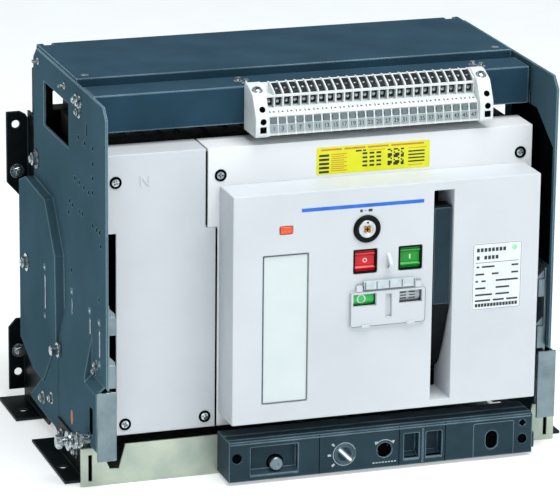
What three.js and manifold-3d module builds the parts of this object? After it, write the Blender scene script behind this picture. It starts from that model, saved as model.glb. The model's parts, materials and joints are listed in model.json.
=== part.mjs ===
// Draw-out air circuit breaker, four poles, in its cradle.
// Millimetres, +Z up, +X to the right seen from the front, -Y towards the operator.
// The origin lies on the floor plane, midway between the side plates, below the front face of the pole covers.
import * as THREE from "three";
import { mergeVertices } from "three/addons/utils/BufferGeometryUtils.js";
import Module from "manifold-3d";

// ---------------------------------------------------------------- driving dimensions
const GAP = 0.3; // between pieces that touch
const SHEET = 3; // sheet metal and moulded wall thickness
const HEIGHT = 432; // floor to top of the cover
const SIDE_X = 257; // outer face of a side plate
const SIDE_IN = SIDE_X - SHEET; // inner face of a side plate
const LOWER_X = 266; // outer face of the side plate's stepped-out foot zone
const REAR_PAN_X = 268; // outer face of the side plate's pressed rear pan
const EDGE_Y = -39; // front edge of a side plate
const BACK_Y = 262; // back edge of a side plate
const REAR_PLANE = 304; // plane of the rear fixing brackets
const FLOOR_WING_X = 291; // outer edge of the feet
const TRAY_X = 276.8; // half width of the base tray's front plate
const TRAY_Y = -6.5; // front face of the base tray
const FACADE_Y = -50; // front face of the control facade
const COVER_DEPTH = 45; // depth of the moulded pole covers
const COVER_TOP = 369;
const COVER_BOTTOM = 53;
const POLE_PITCH = 115;
const POLES = [-1.5, -0.5, 0.5, 1.5].map((k) => k * POLE_PITCH);
const UPPER_Z = 262; // centre height of the upper main circuit
const LOWER_Z = 125; // centre height of the lower main circuit
const BLADE = 15; // thickness of a main terminal
const TERMINAL_END = 361; // rear end of the main terminals
const HOUSING = { x: 236, front: 46, back: 222, bottom: 60, top: 364 };
const MAIN_SHAFT = { y: 100, z: 150 }; // axis of the contact shaft
const HANDLE_PIVOT = { x: 121.5, y: 8, z: 128 };
const FLAP_AXIS = { y: -51.8, z: 217 };
const FLAG_AXIS = { y: -36.5, z: 200 };
const KEY = { x: 32.5, z: 280.3 };
const SCREW_AXIS = { x: 57.8, z: 24 }; // racking screw
const DIAL = { x: 11, z: 24 };
const PLUNGER = { x: -67, z: 20 };
const CROSS_SHAFT = { y: 150, z: 24 };
const INTERLOCK = [0, 53]; // y, z of the interlock stub
const OFF_BUTTON = [18, 45, 230, 257]; // x0, x1, z0, z1 of each facade opening
const ON_BUTTON = [70, 97, 230, 257];
const RESET_BUTTON = [-66.5, -51.7, 281, 290.3];
const TRIP_WINDOW = [-85, -33.5, 91, 258.5];
const CONTACT_FLAG = [17.5, 44, 193, 207];
const CHARGE_FLAG = [70.5, 97, 193, 207];
const HANDLE_SLOT = [110, 133, 77, 316.5];

const COLOURS = {
  steel: [0x46586a, 0.45, 0.3],
  black: [0x14191b, 0.5, 0.2],
  zinc: [0xc5ccb4, 0.4, 0.7],
  bright: [0x98a4aa, 0.35, 0.8],
  cover: [0xdfe3e8, 0.5, 0],
  moulding: [0x32444c, 0.55, 0],
  resin: [0x5b3a2a, 0.7, 0],
  copper: [0xc9a48a, 0.3, 0.9],
  terminal: [0xc4cacb, 0.6, 0],
  red: [0xbe0018, 0.35, 0],
  green: [0x008a1c, 0.35, 0],
  orange: [0xeb5028, 0.4, 0],
  lime: [0x46dc6e, 0.4, 0],
};

// ---------------------------------------------------------------- solids
const wasm = await Module();
wasm.setup();

function toSolid(geometry) {
  geometry.deleteAttribute("normal");
  geometry.deleteAttribute("uv");
  const merged = mergeVertices(geometry, 1e-4);
  return new wasm.Manifold(
    new wasm.Mesh({
      numProp: 3,
      vertProperties: merged.attributes.position.array,
      triVerts: new Uint32Array(merged.index.array),
    }),
  );
}

function toGeometry(solid) {
  const { vertProperties, triVerts } = solid.getMesh();
  const geometry = new THREE.BufferGeometry();
  geometry.setAttribute("position", new THREE.BufferAttribute(vertProperties, 3));
  geometry.setIndex(new THREE.BufferAttribute(triVerts, 1));
  geometry.computeVertexNormals();
  return geometry;
}

const union = (...solids) => solids.reduce((whole, piece) => whole.add(piece));
const cut = (solid, ...tools) => tools.reduce((whole, tool) => whole.subtract(tool), solid);

function block(x0, x1, y0, y1, z0, z1) {
  const box = new THREE.BoxGeometry(x1 - x0, y1 - y0, z1 - z0);
  return toSolid(box.translate((x0 + x1) / 2, (y0 + y1) / 2, (z0 + z1) / 2));
}

// An outline in two axes drawn out along the third: [y, z] along x, [z, x] along y, [x, y] along z.
const AXIS_MATRIX = {
  x: new THREE.Matrix4().set(0, 0, 1, 0, 1, 0, 0, 0, 0, 1, 0, 0, 0, 0, 0, 1),
  y: new THREE.Matrix4().set(0, 1, 0, 0, 0, 0, 1, 0, 1, 0, 0, 0, 0, 0, 0, 1),
  z: new THREE.Matrix4(),
};

function prism(axis, outline, from, to) {
  const shape = new THREE.Shape(outline.map(([u, v]) => new THREE.Vector2(u, v)));
  const geometry = new THREE.ExtrudeGeometry(shape, { depth: to - from, bevelEnabled: false });
  return toSolid(geometry.translate(0, 0, from).applyMatrix4(AXIS_MATRIX[axis]));
}

const prismX = (yz, from, to) => prism("x", yz, from, to);
const prismY = (xz, from, to) => prism("y", xz.map(([x, z]) => [z, x]), from, to);
const prismZ = (xy, from, to) => prism("z", xy, from, to);

function rod(axis, centre, radius, from, to, sides = 20) {
  const cylinder = new THREE.CylinderGeometry(radius, radius, to - from, sides);
  cylinder.rotateX(Math.PI / 2).translate(0, 0, (from + to) / 2).applyMatrix4(AXIS_MATRIX[axis]);
  const [u, v] = centre;
  if (axis === "x") cylinder.translate(0, u, v);
  if (axis === "y") cylinder.translate(u, 0, v);
  if (axis === "z") cylinder.translate(u, v, 0);
  return toSolid(cylinder);
}

// Every edge of a counter-clockwise outline moved inwards by d.
function inset(outline, d) {
  const count = outline.length;
  return outline.map(([x, y], i) => {
    const [px, py] = outline[(i + count - 1) % count];
    const [nx, ny] = outline[(i + 1) % count];
    const before = new THREE.Vector2(x - px, y - py).normalize();
    const after = new THREE.Vector2(nx - x, ny - y).normalize();
    const inwards = new THREE.Vector2(-before.y - after.y, before.x + after.x).normalize();
    const reach = d / (inwards.x * -before.y + inwards.y * before.x);
    return [x + inwards.x * reach, y + inwards.y * reach];
  });
}

const rectangle = (u0, u1, v0, v1) => [[u0, v0], [u1, v0], [u1, v1], [u0, v1]];
const through = ([x0, x1, z0, z1], y0, y1) => block(x0, x1, y0, y1, z0, z1);
const shrink = ([x0, x1, z0, z1], d) => [x0 + d, x1 - d, z0 + d, z1 - d];
const flip = (solid) => solid.mirror([1, 0, 0]);

const breaker = new THREE.Group();
function add(name, solid, colour) {
  const [hex, roughness, metalness] = COLOURS[colour];
  const material = new THREE.MeshStandardMaterial({ color: hex, roughness, metalness });
  const mesh = new THREE.Mesh(toGeometry(solid), material);
  mesh.name = name;
  breaker.add(mesh);
}

function addPair(name, leftSolid, colour) {
  add(name + "_left", leftSolid, colour);
  add(name + "_right", flip(leftSolid), colour);
}

// ---------------------------------------------------------------- cradle: pressed steel frame
// Side plate: a flat upper zone, a pan pressed outwards at the rear, and a foot zone stepped outwards.
function sidePlate() {
  const flat = [
    [20, 121], [20, 168], [125, 168], [125, 12], [133, 12], [146, 19], [222, 20], [BACK_Y, 62],
    [BACK_Y, 418], [248, 430.5], [-27, 430.5], [EDGE_Y, 418], [EDGE_Y, 121],
  ];
  const pan = [
    [130, 121], [188, 58], [234, 60], [290, 80], [290, 268], [BACK_Y, 279], [176, 275], [133, 221],
  ];
  const step = (top, slope, bottom) => [
    [-SIDE_IN, top], [-SIDE_X, top], [-LOWER_X, top - slope], [-LOWER_X, bottom],
    [-LOWER_X + SHEET, bottom], [-LOWER_X + SHEET, top - slope],
  ];
  const webOutline = [
    [-SIDE_IN, 168], [-SIDE_X, 168], [-LOWER_X, 120], [-LOWER_X, 112], [-LOWER_X + SHEET, 112],
    [-SIDE_IN, 121],
  ];
  const endOutline = [
    [-SIDE_IN, 168], [-SIDE_X, 168], [-LOWER_X, 120], [-LOWER_X, 12], [-SIDE_IN, 12],
  ];
  const plate = union(
    prismX(flat, -SIDE_X, -SIDE_IN),
    prismX(pan, -REAR_PAN_X, -SIDE_IN),
    prismY(step(168, 48, 12), 20, 125),
    prismY(step(121, 9, 47), -30, 20),
    prismY(webOutline, 17, 20),
    prismY(endOutline, 125, 125 + SHEET),
  );
  const window = block(-SIDE_X - 1, -SIDE_IN + 1, 111, 217, 350, 400);
  const hollow = prismX(inset(pan, SHEET), -REAR_PAN_X + SHEET, -SIDE_IN + 1);
  const slot = block(-LOWER_X - 1, -LOWER_X + SHEET + 1, -15, -11, 62, 92);
  const stubHole = rod("x", INTERLOCK, 7.2, -LOWER_X - 1, -LOWER_X + SHEET + 1, 16);
  return cut(plate, window, hollow, slot, stubHole);
}
addPair("side_plate", sidePlate(), "steel");

// Top cover: a sheet folded down on all four sides between the side plates.
function topCover() {
  const [x, front, back] = [SIDE_IN - 0.8, 93, BACK_Y];
  const whole = block(-x, x, front, back, HEIGHT - 32, HEIGHT);
  const inside = block(-x + SHEET, x - SHEET, front + SHEET, back - SHEET, HEIGHT - 33, HEIGHT - SHEET);
  const shortFront = block(-x + SHEET, x - SHEET, front - 1, front + SHEET + 1, HEIGHT - 33, HEIGHT - 14);
  const notch = block(-245, -236, back - 8, back + 1, HEIGHT - 33, HEIGHT + 1);
  const screwHole = rod("z", [-239, 108], 3, HEIGHT - 5, HEIGHT + 1, 12);
  return cut(whole, inside, shortFront, notch, flip(notch), screwHole, flip(screwHole));
}
add("top_cover", topCover(), "steel");

// Front crossbar: a folded channel, open below, with an end flange bolted to each side plate.
function crossbar() {
  const x = SIDE_IN - 4;
  const channel = [
    [32, 385], [32, 427], [76, 427], [76, 405], [73, 405], [73, 424], [35, 424], [35, 385],
  ];
  const end = block(-x, -x + SHEET, 35, 73, 387, 424);
  return union(prismX(channel, -x, x), end, flip(end));
}
add("crossbar", crossbar(), "steel");

// Base tray: bottom sheet, bearing blocks of the cross shaft, and a notched front plate.
function baseTray() {
  const half = [
    [TRAY_X, 0], [TRAY_X, 44], [250, 44], [247, 25], [244, 18], [234, 17.5], [226.5, 45],
  ];
  const mirrored = half.map(([x, z]) => [-x, z]).reverse();
  const slot = block(-268.3, -264.2, TRAY_Y - 1, TRAY_Y + SHEET + 1, 6, 36);
  const bearing = block(-236, -226, 138, 162, 1, 38);
  const tray = union(
    prismY([...half, ...mirrored], TRAY_Y, TRAY_Y + SHEET),
    block(-250, 250, TRAY_Y + 1, BACK_Y, 0, 2.5),
    bearing,
    flip(bearing),
  );
  const shaftBore = rod("x", [CROSS_SHAFT.y, CROSS_SHAFT.z], 7.4, -240, 240);
  const screwBore = rod("y", [SCREW_AXIS.x, SCREW_AXIS.z], 8, TRAY_Y - 1, TRAY_Y + SHEET + 1);
  return cut(tray, slot, flip(slot), shaftBore, screwBore);
}
add("base_tray", baseTray(), "zinc");

// Racking bezel: a moulded box on the tray's front plate, open behind, with the operating openings.
function rackingBezel() {
  const [left, right, back, bottom, top] = [-122, 233, TRAY_Y - GAP, 3.5, 50];
  const shell = union(
    block(left, right, FACADE_Y, back, bottom, top),
    block(right - 1, right + 5, FACADE_Y + 6, back, 7, 25),
  );
  const inside = block(left + SHEET, right - SHEET, FACADE_Y + SHEET, back + 1, bottom + SHEET, top - SHEET);
  const pocket = [-99, -41, 7, 44];
  const finger = [[79, 100, 8, 42], [105, 127, 8, 42]];
  const recess = (r, depth) => through(shrink(r, 2), FACADE_Y - 1, FACADE_Y + depth);
  const round = (x, z, r, sides) => rod("y", [x, z], r, FACADE_Y - 1, FACADE_Y + 16, sides);
  const walls = union(
    through(pocket, FACADE_Y + 1, FACADE_Y + 11),
    ...finger.map((r) => through(r, FACADE_Y + 1, FACADE_Y + 14)),
  );
  return cut(
    union(cut(shell, inside), walls),
    recess(pocket, 8),
    ...finger.map((r) => recess(r, 12)),
    round(PLUNGER.x, PLUNGER.z, 9),
    round(DIAL.x, DIAL.z, 12.4, 32),
    round(SCREW_AXIS.x, SCREW_AXIS.z, 8.5),
    round(-113, 30, 4.6, 12),
    round(221, 21, 5, 12),
    round(221, 39.5, 3.6, 8),
    rod("y", [184.5, 26.5], 7, FACADE_Y - 1, FACADE_Y + 4),
    rod("y", [184.5, 19.5], 7, FACADE_Y - 1, FACADE_Y + 4),
    block(177.5, 191.5, FACADE_Y - 1, FACADE_Y + 4, 19.5, 26.5),
  );
}
add("racking_bezel", rackingBezel(), "moulding");

// Rear insulating board, with one window for each main terminal and an opening in each upper corner.
const TERMINAL_HALF = 44;
function rearBoard() {
  const windows = POLES.flatMap((x) =>
    [UPPER_Z, LOWER_Z].map((z) =>
      block(x - TERMINAL_HALF - 1, x + TERMINAL_HALF + 1, 260, 310, z - BLADE / 2 - 1, z + BLADE / 2 + 1),
    ),
  );
  const cornerGap = block(-231, -213, 273, 301, 351, 373);
  return cut(block(-249, 249, 274, 300, 8, 396), ...windows, cornerGap, flip(cornerGap));
}
add("rear_board", rearBoard(), "resin");

// Main terminals: copper blades with a shoulder before the board, a thinner neck in its window and a
// palm with two bolt holes behind it.
function mainTerminal(x, z) {
  const half = BLADE / 2;
  const blade = block(x - 38, x + 38, 238, 270, z - half, z + half);
  const shoulder = block(x - 48, x + 48, 266, 274 - GAP, z - half - 6, z + half + 6);
  const neck = block(x - TERMINAL_HALF, x + TERMINAL_HALF, 272, 304, z - half + 1, z + half - 1);
  const palm = block(x - TERMINAL_HALF, x + TERMINAL_HALF, 303, TERMINAL_END, z - half, z + half);
  const holes = [-22, 22].map((dx) => rod("z", [x + dx, TERMINAL_END - 20], 6.5, z - 20, z + 20, 16));
  return cut(union(blade, shoulder, neck, palm), ...holes);
}
POLES.forEach((x, i) => {
  add(`upper_terminal_${i + 1}`, mainTerminal(x, UPPER_Z), "copper");
  add(`lower_terminal_${i + 1}`, mainTerminal(x, LOWER_Z), "copper");
});

// ---------------------------------------------------------------- cradle: feet and rear brackets
function frontFoot() {
  const wall = LOWER_X + GAP;
  const floor = [
    [-FLOOR_WING_X, 8], [-wall, 8], [-wall, 130], [-SIDE_X - GAP, 130], [-SIDE_X - GAP, 152],
    [-FLOOR_WING_X, 152],
  ];
  const wing = block(-wall - SHEET, -wall, 8, 122, 2, 38);
  const hole = rod("z", [-280.5, 56], 5, -1, 4, 16);
  return cut(union(prismZ(floor, 0, SHEET), wing), hole);
}
addPair("foot_front", frontFoot(), "black");

// Rear corner bracket: a floor wing, a wing on the side plate and a wing facing the front.
function rearCornerBracket() {
  const wall = SIDE_X + GAP;
  const floor = rectangle(-FLOOR_WING_X, -wall, 223, REAR_PLANE);
  const side = [
    [176, 24], [196, 2], [REAR_PLANE, 2], [REAR_PLANE, 98], [290.5, 98], [290.5, 77.5], [234, 57],
    [188, 55], [176, 44],
  ];
  const rear = [
    [-wall, 12], [-279, 12], [-279, 88], [-270, 98], [-wall, 98],
  ];
  const bracket = union(
    prismZ(floor, 0, SHEET),
    prismX(side, -wall - SHEET, -wall),
    prismY(rear, REAR_PLANE - SHEET, REAR_PLANE),
  );
  return cut(
    bracket,
    rod("z", [-275, 253], 5, -1, 4, 16),
    rod("y", [-268, 33], 4.6, REAR_PLANE - SHEET - 1, REAR_PLANE + 1, 16),
  );
}
addPair("bracket_rear_lower", rearCornerBracket(), "black");

// Upper rear bracket: one wing inside the side plate, one wing facing the front.
function upperRearBracket() {
  const wall = SIDE_IN - GAP;
  const side = [
    [240, 262], [258, 250], [REAR_PLANE, 250], [REAR_PLANE, 345], [262, 345], [240, 330],
  ];
  const rear = [
    [-wall + SHEET, 243], [-262, 243], [-279, 262], [-279, 345], [-263, 345], [-256, 341],
    [-wall + SHEET, 330],
  ];
  const bracket = union(
    prismX(side, -wall, -wall + SHEET),
    prismY(rear, REAR_PLANE - SHEET, REAR_PLANE),
  );
  return cut(bracket, rod("y", [-268, 330], 4.6, REAR_PLANE - SHEET - 1, REAR_PLANE + 1, 16));
}
addPair("bracket_rear_upper", upperRearBracket(), "black");

// ---------------------------------------------------------------- cradle: control circuit terminals
// Two stepped tiers of clamps with an end cap at each side, on the face of the crossbar.
function terminalBlock() {
  const tiers = [
    [31.7, 380], [31.7, 431], [24, 431], [8, 423.5], [8, 407], [-4, 400], [-8, 380],
  ];
  const cap = [
    [31.7, 379], [31.7, 431.7], [22, 431.7], [3, 424], [-10, 400], [-10, 379],
  ];
  return union(
    prismX(tiers, -66, 176),
    prismX(cap, -82, -65),
    prismX(cap, 175, 192),
  );
}
add("terminal_block", terminalBlock(), "terminal");

// Interlock stub: a threaded shaft end that leaves the left side plate, with its nuts and washer.
function interlockStub() {
  const axis = INTERLOCK;
  return union(
    rod("x", axis, 5, -303, -255, 16),
    rod("x", axis, 8.4, -262.7, -258, 16),
    rod("x", axis, 9.5, -279, -274, 6),
    rod("x", axis, 9.5, -285, -280, 6),
    rod("x", axis, 11, -291, -288, 16),
    rod("x", axis, 8, -303, -297, 6),
  );
}
add("interlock_stub", interlockStub(), "bright");

// ---------------------------------------------------------------- cradle: racking drive
// Crank socket and screw under the breaker.
add(
  "racking_screw",
  cut(
    rod("y", [SCREW_AXIS.x, SCREW_AXIS.z], 7, -44, 136),
    block(SCREW_AXIS.x - 3.5, SCREW_AXIS.x + 3.5, -45, -30, SCREW_AXIS.z - 3.5, SCREW_AXIS.z + 3.5),
  ),
  "bright",
);

// Cross shaft with two arms that carry the breaker forwards.
function crossShaft() {
  const { y, z } = CROSS_SHAFT;
  const arm = prismX([[y - 8, z - 6], [y + 8, z - 6], [y + 4, z + 21], [y - 4, z + 21]], -215, -207);
  return union(rod("x", [y, z], 7, -245, 245), arm, flip(arm));
}
add("racking_shaft", crossShaft(), "bright");

// Position dial: a disc with a pointer bar, on a short spindle.
function positionDial() {
  const { x, z } = DIAL;
  const [long, thick] = [10.5, 1.6];
  const bar = block(-long, long, FACADE_Y - 3, FACADE_Y, -thick, thick).rotate([0, 45, 0]).translate([x, 0, z]);
  return union(
    rod("y", [x, z], 12, FACADE_Y - 1, FACADE_Y + 8, 32),
    rod("y", [x, z], 4, FACADE_Y + 7, TRAY_Y - 4, 12),
    bar,
  );
}
add("position_dial", positionDial(), "moulding");

// Release plunger of the racking lock.
add("release_plunger", rod("y", [PLUNGER.x, PLUNGER.z], 7.6, FACADE_Y + 1, -18), "bright");

// ---------------------------------------------------------------- cradle: pull-out guide rails
function guideRail() {
  const web = block(-SIDE_IN + 0.5, -250.3, EDGE_Y + 6, 248, 60, 112);
  const cap = block(-265.6, -244, -34.3, -31, 47, 115.4);
  const toe = block(-265.6, -244, -34.3, -31, 37, 48);
  const gusset = block(-SIDE_IN + 0.5, -244, -33, -31 + 20, 62, 110);
  return union(web, cap, toe, gusset);
}
addPair("guide_rail", guideRail(), "bright");

// Side bracket: a plated plate on the rail beside the housing, with two lugs in front, each with a
// slanted gusset behind it, and two pads that the housing slides between.
const LUG_FRONT = -30;
function sideBracket() {
  const [outer, inner] = [-SIDE_IN + GAP, -243.4];
  const plate = block(outer, outer + SHEET, LUG_FRONT, 210, 112.5, 212);
  const lug = (bottom, top) => block(outer, inner, LUG_FRONT, LUG_FRONT + 12, bottom, top);
  const gusset = (bottom, top) =>
    prismY([[outer, bottom], [inner, bottom], [inner, top + 2.5], [outer, top + 13]], LUG_FRONT + 3, LUG_FRONT + 9);
  const pad = (y) => block(outer, -HOUSING.x - GAP, y, y + 30, 130, 160);
  return union(plate, lug(118, 144), gusset(118, 144), lug(178, 198.5), gusset(178, 198.5), pad(70), pad(165));
}
addPair("side_bracket", sideBracket(), "bright");

// ---------------------------------------------------------------- breaker: pole housing and main circuits
function poleHousing() {
  const { x, front, back, bottom, top } = HOUSING;
  const cells = POLES.map((px) => block(px - 52, px + 52, front + 14, back - 10, bottom + 12, top + 1));
  const stems = POLES.flatMap((px) =>
    [UPPER_Z, LOWER_Z].map((z) => block(px - 31, px + 31, back - 11, back + 1, z - 9, z + 9)),
  );
  const shaftBore = rod("x", [MAIN_SHAFT.y, MAIN_SHAFT.z], 12.4, -222, 222);
  return cut(block(-x, x, front, back, bottom, top), ...cells, ...stems, shaftBore);
}
add("pole_housing", poleHousing(), "resin");

// A stem through the housing's rear wall, with jaws that grip the main terminal's blade.
function circuitJaw(x, z, front) {
  const stem = block(x - 30, x + 30, front, HOUSING.back + 5, z - 8, z + 8);
  const jaws = block(x - 42, x + 42, HOUSING.back + 1, 258, z - 17, z + 17);
  const mouth = block(x - 43, x + 43, HOUSING.back + 10, 259, z - BLADE / 2 - 0.5, z + BLADE / 2 + 0.5);
  return union(stem, cut(jaws, mouth));
}

// Arc chute: a box of splitter plates under a slotted cap.
function arcChute(x) {
  const slots = [-30, -10, 10, 30].map((dx) => block(x + dx - 5, x + dx + 5, 80, 192, 350, 370));
  return cut(block(x - 50, x + 50, 64, 208, 275, 368), ...slots);
}

POLES.forEach((x, i) => {
  add(`upper_contact_${i + 1}`, circuitJaw(x, UPPER_Z, 170.5), "copper");
  add(`lower_contact_${i + 1}`, circuitJaw(x, LOWER_Z, 150), "copper");
  add(`arc_chute_${i + 1}`, arcChute(x), "resin");
});

// Contact shaft: an insulated shaft with one contact arm in each pole.
function mainShaft() {
  const { y, z } = MAIN_SHAFT;
  const arm = [[y - 6.5, z + 2.6], [y + 6.5, z - 2.6], [y + 49.5, z + 105.4], [y + 36.5, z + 110.6]];
  const shaft = rod("x", [y, z], 12, -221, 221);
  return union(shaft, ...POLES.map((x) => prismX(arm, x - 20, x + 20)));
}
add("main_shaft", mainShaft(), "resin");

// ---------------------------------------------------------------- breaker: covers
const STEP_Z = 282; // height of the side steps in the covers
function moulded(outline) {
  const tray = prismY(outline, 0, COVER_DEPTH);
  return cut(tray, prismY(inset(outline, SHEET), SHEET, COVER_DEPTH + 1));
}
const neutralOutline = [
  [-235, COVER_BOTTOM], [-122.6, COVER_BOTTOM], [-122.6, STEP_Z - 1], [-134, STEP_Z - 1],
  [-134, COVER_TOP], [-245, COVER_TOP], [-245, STEP_Z], [-235, STEP_Z],
];
const mainOutline = [
  [-121, COVER_BOTTOM], [235, COVER_BOTTOM], [235, STEP_Z], [243, STEP_Z], [243, COVER_TOP],
  [-132, COVER_TOP], [-132, STEP_Z - 1], [-121, STEP_Z - 1],
];
add("neutral_cover", moulded(neutralOutline), "cover");
add(
  "main_cover",
  cut(moulded(mainOutline), through([109, 134, 74, 319.5], -1, SHEET + 1)),
  "cover",
);

// Control facade: a shell on the main cover with the operating openings and the handle well.
function facade() {
  const outline = rectangle(-119, 234, 69, 327);
  const shell = cut(
    prismY(outline, FACADE_Y, -GAP),
    prismY(inset(outline, SHEET), FACADE_Y + SHEET, 1),
  );
  const [x0, x1, z0, z1] = HANDLE_SLOT;
  const well = block(x0 - 2.5, x1 + 2.5, FACADE_Y + 1, -GAP, z0 - 2.5, z1 + 2.5);
  const hasp = prismX([[FACADE_Y + 1, 232], [FACADE_Y + 1, 252], [-60, 241], [-60, 238]], 56, 60.5);
  const openings = [OFF_BUTTON, ON_BUTTON, RESET_BUTTON, TRIP_WINDOW, CONTACT_FLAG, CHARGE_FLAG];
  return cut(
    union(shell, well, hasp),
    ...openings.map((r) => through(r, FACADE_Y - 1, FACADE_Y + SHEET + 1)),
    through(HANDLE_SLOT, FACADE_Y - 1, 1),
    rod("y", [KEY.x, KEY.z], 12, FACADE_Y - 1, FACADE_Y + SHEET + 1, 24),
    rod("x", [-56, 239.5], 1.6, 50, 66, 10),
  );
}
add("facade", facade(), "cover");

// ---------------------------------------------------------------- breaker: controls
// Trip unit: an electronic box behind the facade whose face fills the window.
add(
  "trip_unit",
  union(
    through(shrink(TRIP_WINDOW, 0.5), FACADE_Y + 0.6, FACADE_Y + 6),
    through(shrink(TRIP_WINDOW, -6), FACADE_Y + 4, -6),
  ),
  "cover",
);

// Mechanism frame: two steel cheeks and a back plate behind the main cover.
function mechanismFrame() {
  const cheek = block(104, 107, 5, 44, 90, 250);
  const back = block(60, 183, 40.5, 43.5, 90, 250);
  const pivotBore = rod("x", [HANDLE_PIVOT.y, HANDLE_PIVOT.z], 5.2, 100, 145, 16);
  return cut(union(cheek, cheek.translate([32, 0, 0]), back), pivotBore);
}
add("mechanism_frame", mechanismFrame(), "steel");

// Charging handle: a lever that is straight in the well and curls round its pivot at the lower end.
function chargingHandle() {
  const { x, y, z } = HANDLE_PIVOT;
  const hub = [];
  for (let k = 0; k <= 6; k += 1) {
    const angle = THREE.MathUtils.degToRad(210 + 20 * k);
    hub.push([y + 30 * Math.cos(angle), z + 30 * Math.sin(angle)]);
  }
  const lever = [
    [-46, 298], [-46, 185], [-31, 142], ...hub, [20, 150], [-14, 190], [-26, 205], [-26, 298],
  ];
  const pin = rod("x", [y, z], 5, 103.5, 139.5, 16);
  return union(prismX(lever, x - 10.4, x + 10.4), pin);
}
add("charging_handle", chargingHandle(), "moulding");

// Push buttons: a cap in its opening and a stem behind it.
function button(opening, play, front, stem) {
  const [x0, x1, z0, z1] = opening;
  return union(
    through(shrink(opening, play), front, front + 8),
    rod("y", [(x0 + x1) / 2, (z0 + z1) / 2], stem, front + 7, -12, 12),
  );
}
add("off_button", button(OFF_BUTTON, 1, FACADE_Y + 0.5, 5), "red");
add("on_button", button(ON_BUTTON, 1, FACADE_Y + 0.5, 5), "green");
add("reset_button", button(RESET_BUTTON, 0.6, FACADE_Y - 0.5, 2.5), "orange");

// Key lock: a black ring fixed in the facade and a barrel that turns in it.
add(
  "lock_ring",
  cut(
    union(
      rod("y", [KEY.x, KEY.z], 15.5, FACADE_Y - 3, FACADE_Y - GAP, 32),
      rod("y", [KEY.x, KEY.z], 11.6, FACADE_Y - 1, -30, 24),
    ),
    rod("y", [KEY.x, KEY.z], 10.4, -60, -20, 24),
  ),
  "black",
);
add(
  "key_barrel",
  cut(
    rod("y", [KEY.x, KEY.z], 10, FACADE_Y - 2.5, -26, 24),
    block(KEY.x - 1, KEY.x + 1, -60, -40, KEY.z - 4, KEY.z + 4),
  ),
  "bright",
);

// Padlock flap: a windowed plate that swings up over both buttons and lets the hasp through its slot.
function lockFlap() {
  const [front, back] = [FACADE_Y - 3, FACADE_Y - 0.4];
  const ear = (x) => block(x, x + 7, front, back, 205, FLAP_AXIS.z + 0.8);
  const pin = rod("x", [FLAP_AXIS.y, FLAP_AXIS.z], 1.2, 21, 96, 10);
  return cut(
    union(block(14, 101, front, back, 170, 210.5), ear(21), ear(89), pin),
    ...[CONTACT_FLAG, CHARGE_FLAG].map((r) => through(r, front - 1, back + 1)),
    block(54.5, 62, front - 1, back + 1, 179, 205.5),
  );
}
add("lock_flap", lockFlap(), "cover");

// Hinge bracket of the flap.
add(
  "flap_bracket",
  cut(
    block(29, 88, FACADE_Y - 5, FACADE_Y - GAP, FLAP_AXIS.z - 4.6, FLAP_AXIS.z + 4.6),
    rod("x", [FLAP_AXIS.y, FLAP_AXIS.z], 1.4, 20, 97, 10),
  ),
  "cover",
);

// Indicator drums behind the flap's windows.
function flagDrum([x0, x1]) {
  return rod("x", [FLAG_AXIS.y, FLAG_AXIS.z], 9.5, x0 + 0.5, x1 - 0.5, 20);
}
add("contact_indicator", flagDrum(CONTACT_FLAG), "lime");
add("charge_indicator", flagDrum(CHARGE_FLAG), "cover");

export default breaker;
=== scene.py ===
"""Draw-out air circuit breaker with four poles, standing in its cradle.

The sections follow the order in which the breaker is put together: studio, steel cradle, terminals,
racking drive, guide rails, pole housing, covers, and the controls on the front. Sizes are millimetres
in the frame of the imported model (+X right, -Y to the operator, +Z up) and become metres in each mesh.
"""
import json
import math

import bmesh
import bpy
import numpy as np
from mathutils import Matrix, Vector

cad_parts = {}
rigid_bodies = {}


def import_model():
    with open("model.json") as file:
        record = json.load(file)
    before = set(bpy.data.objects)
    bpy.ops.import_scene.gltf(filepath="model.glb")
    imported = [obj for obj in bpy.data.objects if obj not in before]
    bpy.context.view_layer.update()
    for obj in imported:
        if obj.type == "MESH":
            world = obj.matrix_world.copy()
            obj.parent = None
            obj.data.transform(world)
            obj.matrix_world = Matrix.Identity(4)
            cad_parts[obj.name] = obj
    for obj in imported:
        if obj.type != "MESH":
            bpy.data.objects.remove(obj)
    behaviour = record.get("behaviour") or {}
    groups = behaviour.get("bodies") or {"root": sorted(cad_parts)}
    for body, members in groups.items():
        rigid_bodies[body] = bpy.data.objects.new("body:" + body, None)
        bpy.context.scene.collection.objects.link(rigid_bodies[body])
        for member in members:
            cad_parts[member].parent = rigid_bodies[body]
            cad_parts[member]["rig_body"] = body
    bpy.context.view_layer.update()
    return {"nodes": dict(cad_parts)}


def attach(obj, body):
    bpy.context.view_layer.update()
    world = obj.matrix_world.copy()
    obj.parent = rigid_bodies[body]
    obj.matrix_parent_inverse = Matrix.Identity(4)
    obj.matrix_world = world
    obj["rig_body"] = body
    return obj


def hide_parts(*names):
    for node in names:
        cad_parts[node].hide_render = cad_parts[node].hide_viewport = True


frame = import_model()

MM = 0.001

# ---------------------------------------------------------------- studio
# A long lens a little to the left and above, a white sweep under a white sky, and three soft boxes:
# one overhead in front, one large and weak at the right, and one at the left for the side plate.


def aim(turn, rise, roll, aside, height, away):
    """Camera matrix: away from the point (aside, height) along a direction turned and raised in degrees."""
    a, e, r = (math.radians(angle) for angle in (turn, rise, roll))
    back = Vector((math.sin(a) * math.cos(e), -math.cos(a) * math.cos(e), math.sin(e)))
    level = Vector((math.cos(a), math.sin(a), 0))
    upright = back.cross(level)
    right = level * math.cos(r) + upright * math.sin(r)
    up = upright * math.cos(r) - level * math.sin(r)
    where = (back * away + level * aside + upright * height) * MM
    return Matrix.Translation(where) @ Matrix((right, up, back)).transposed().to_4x4()


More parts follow.
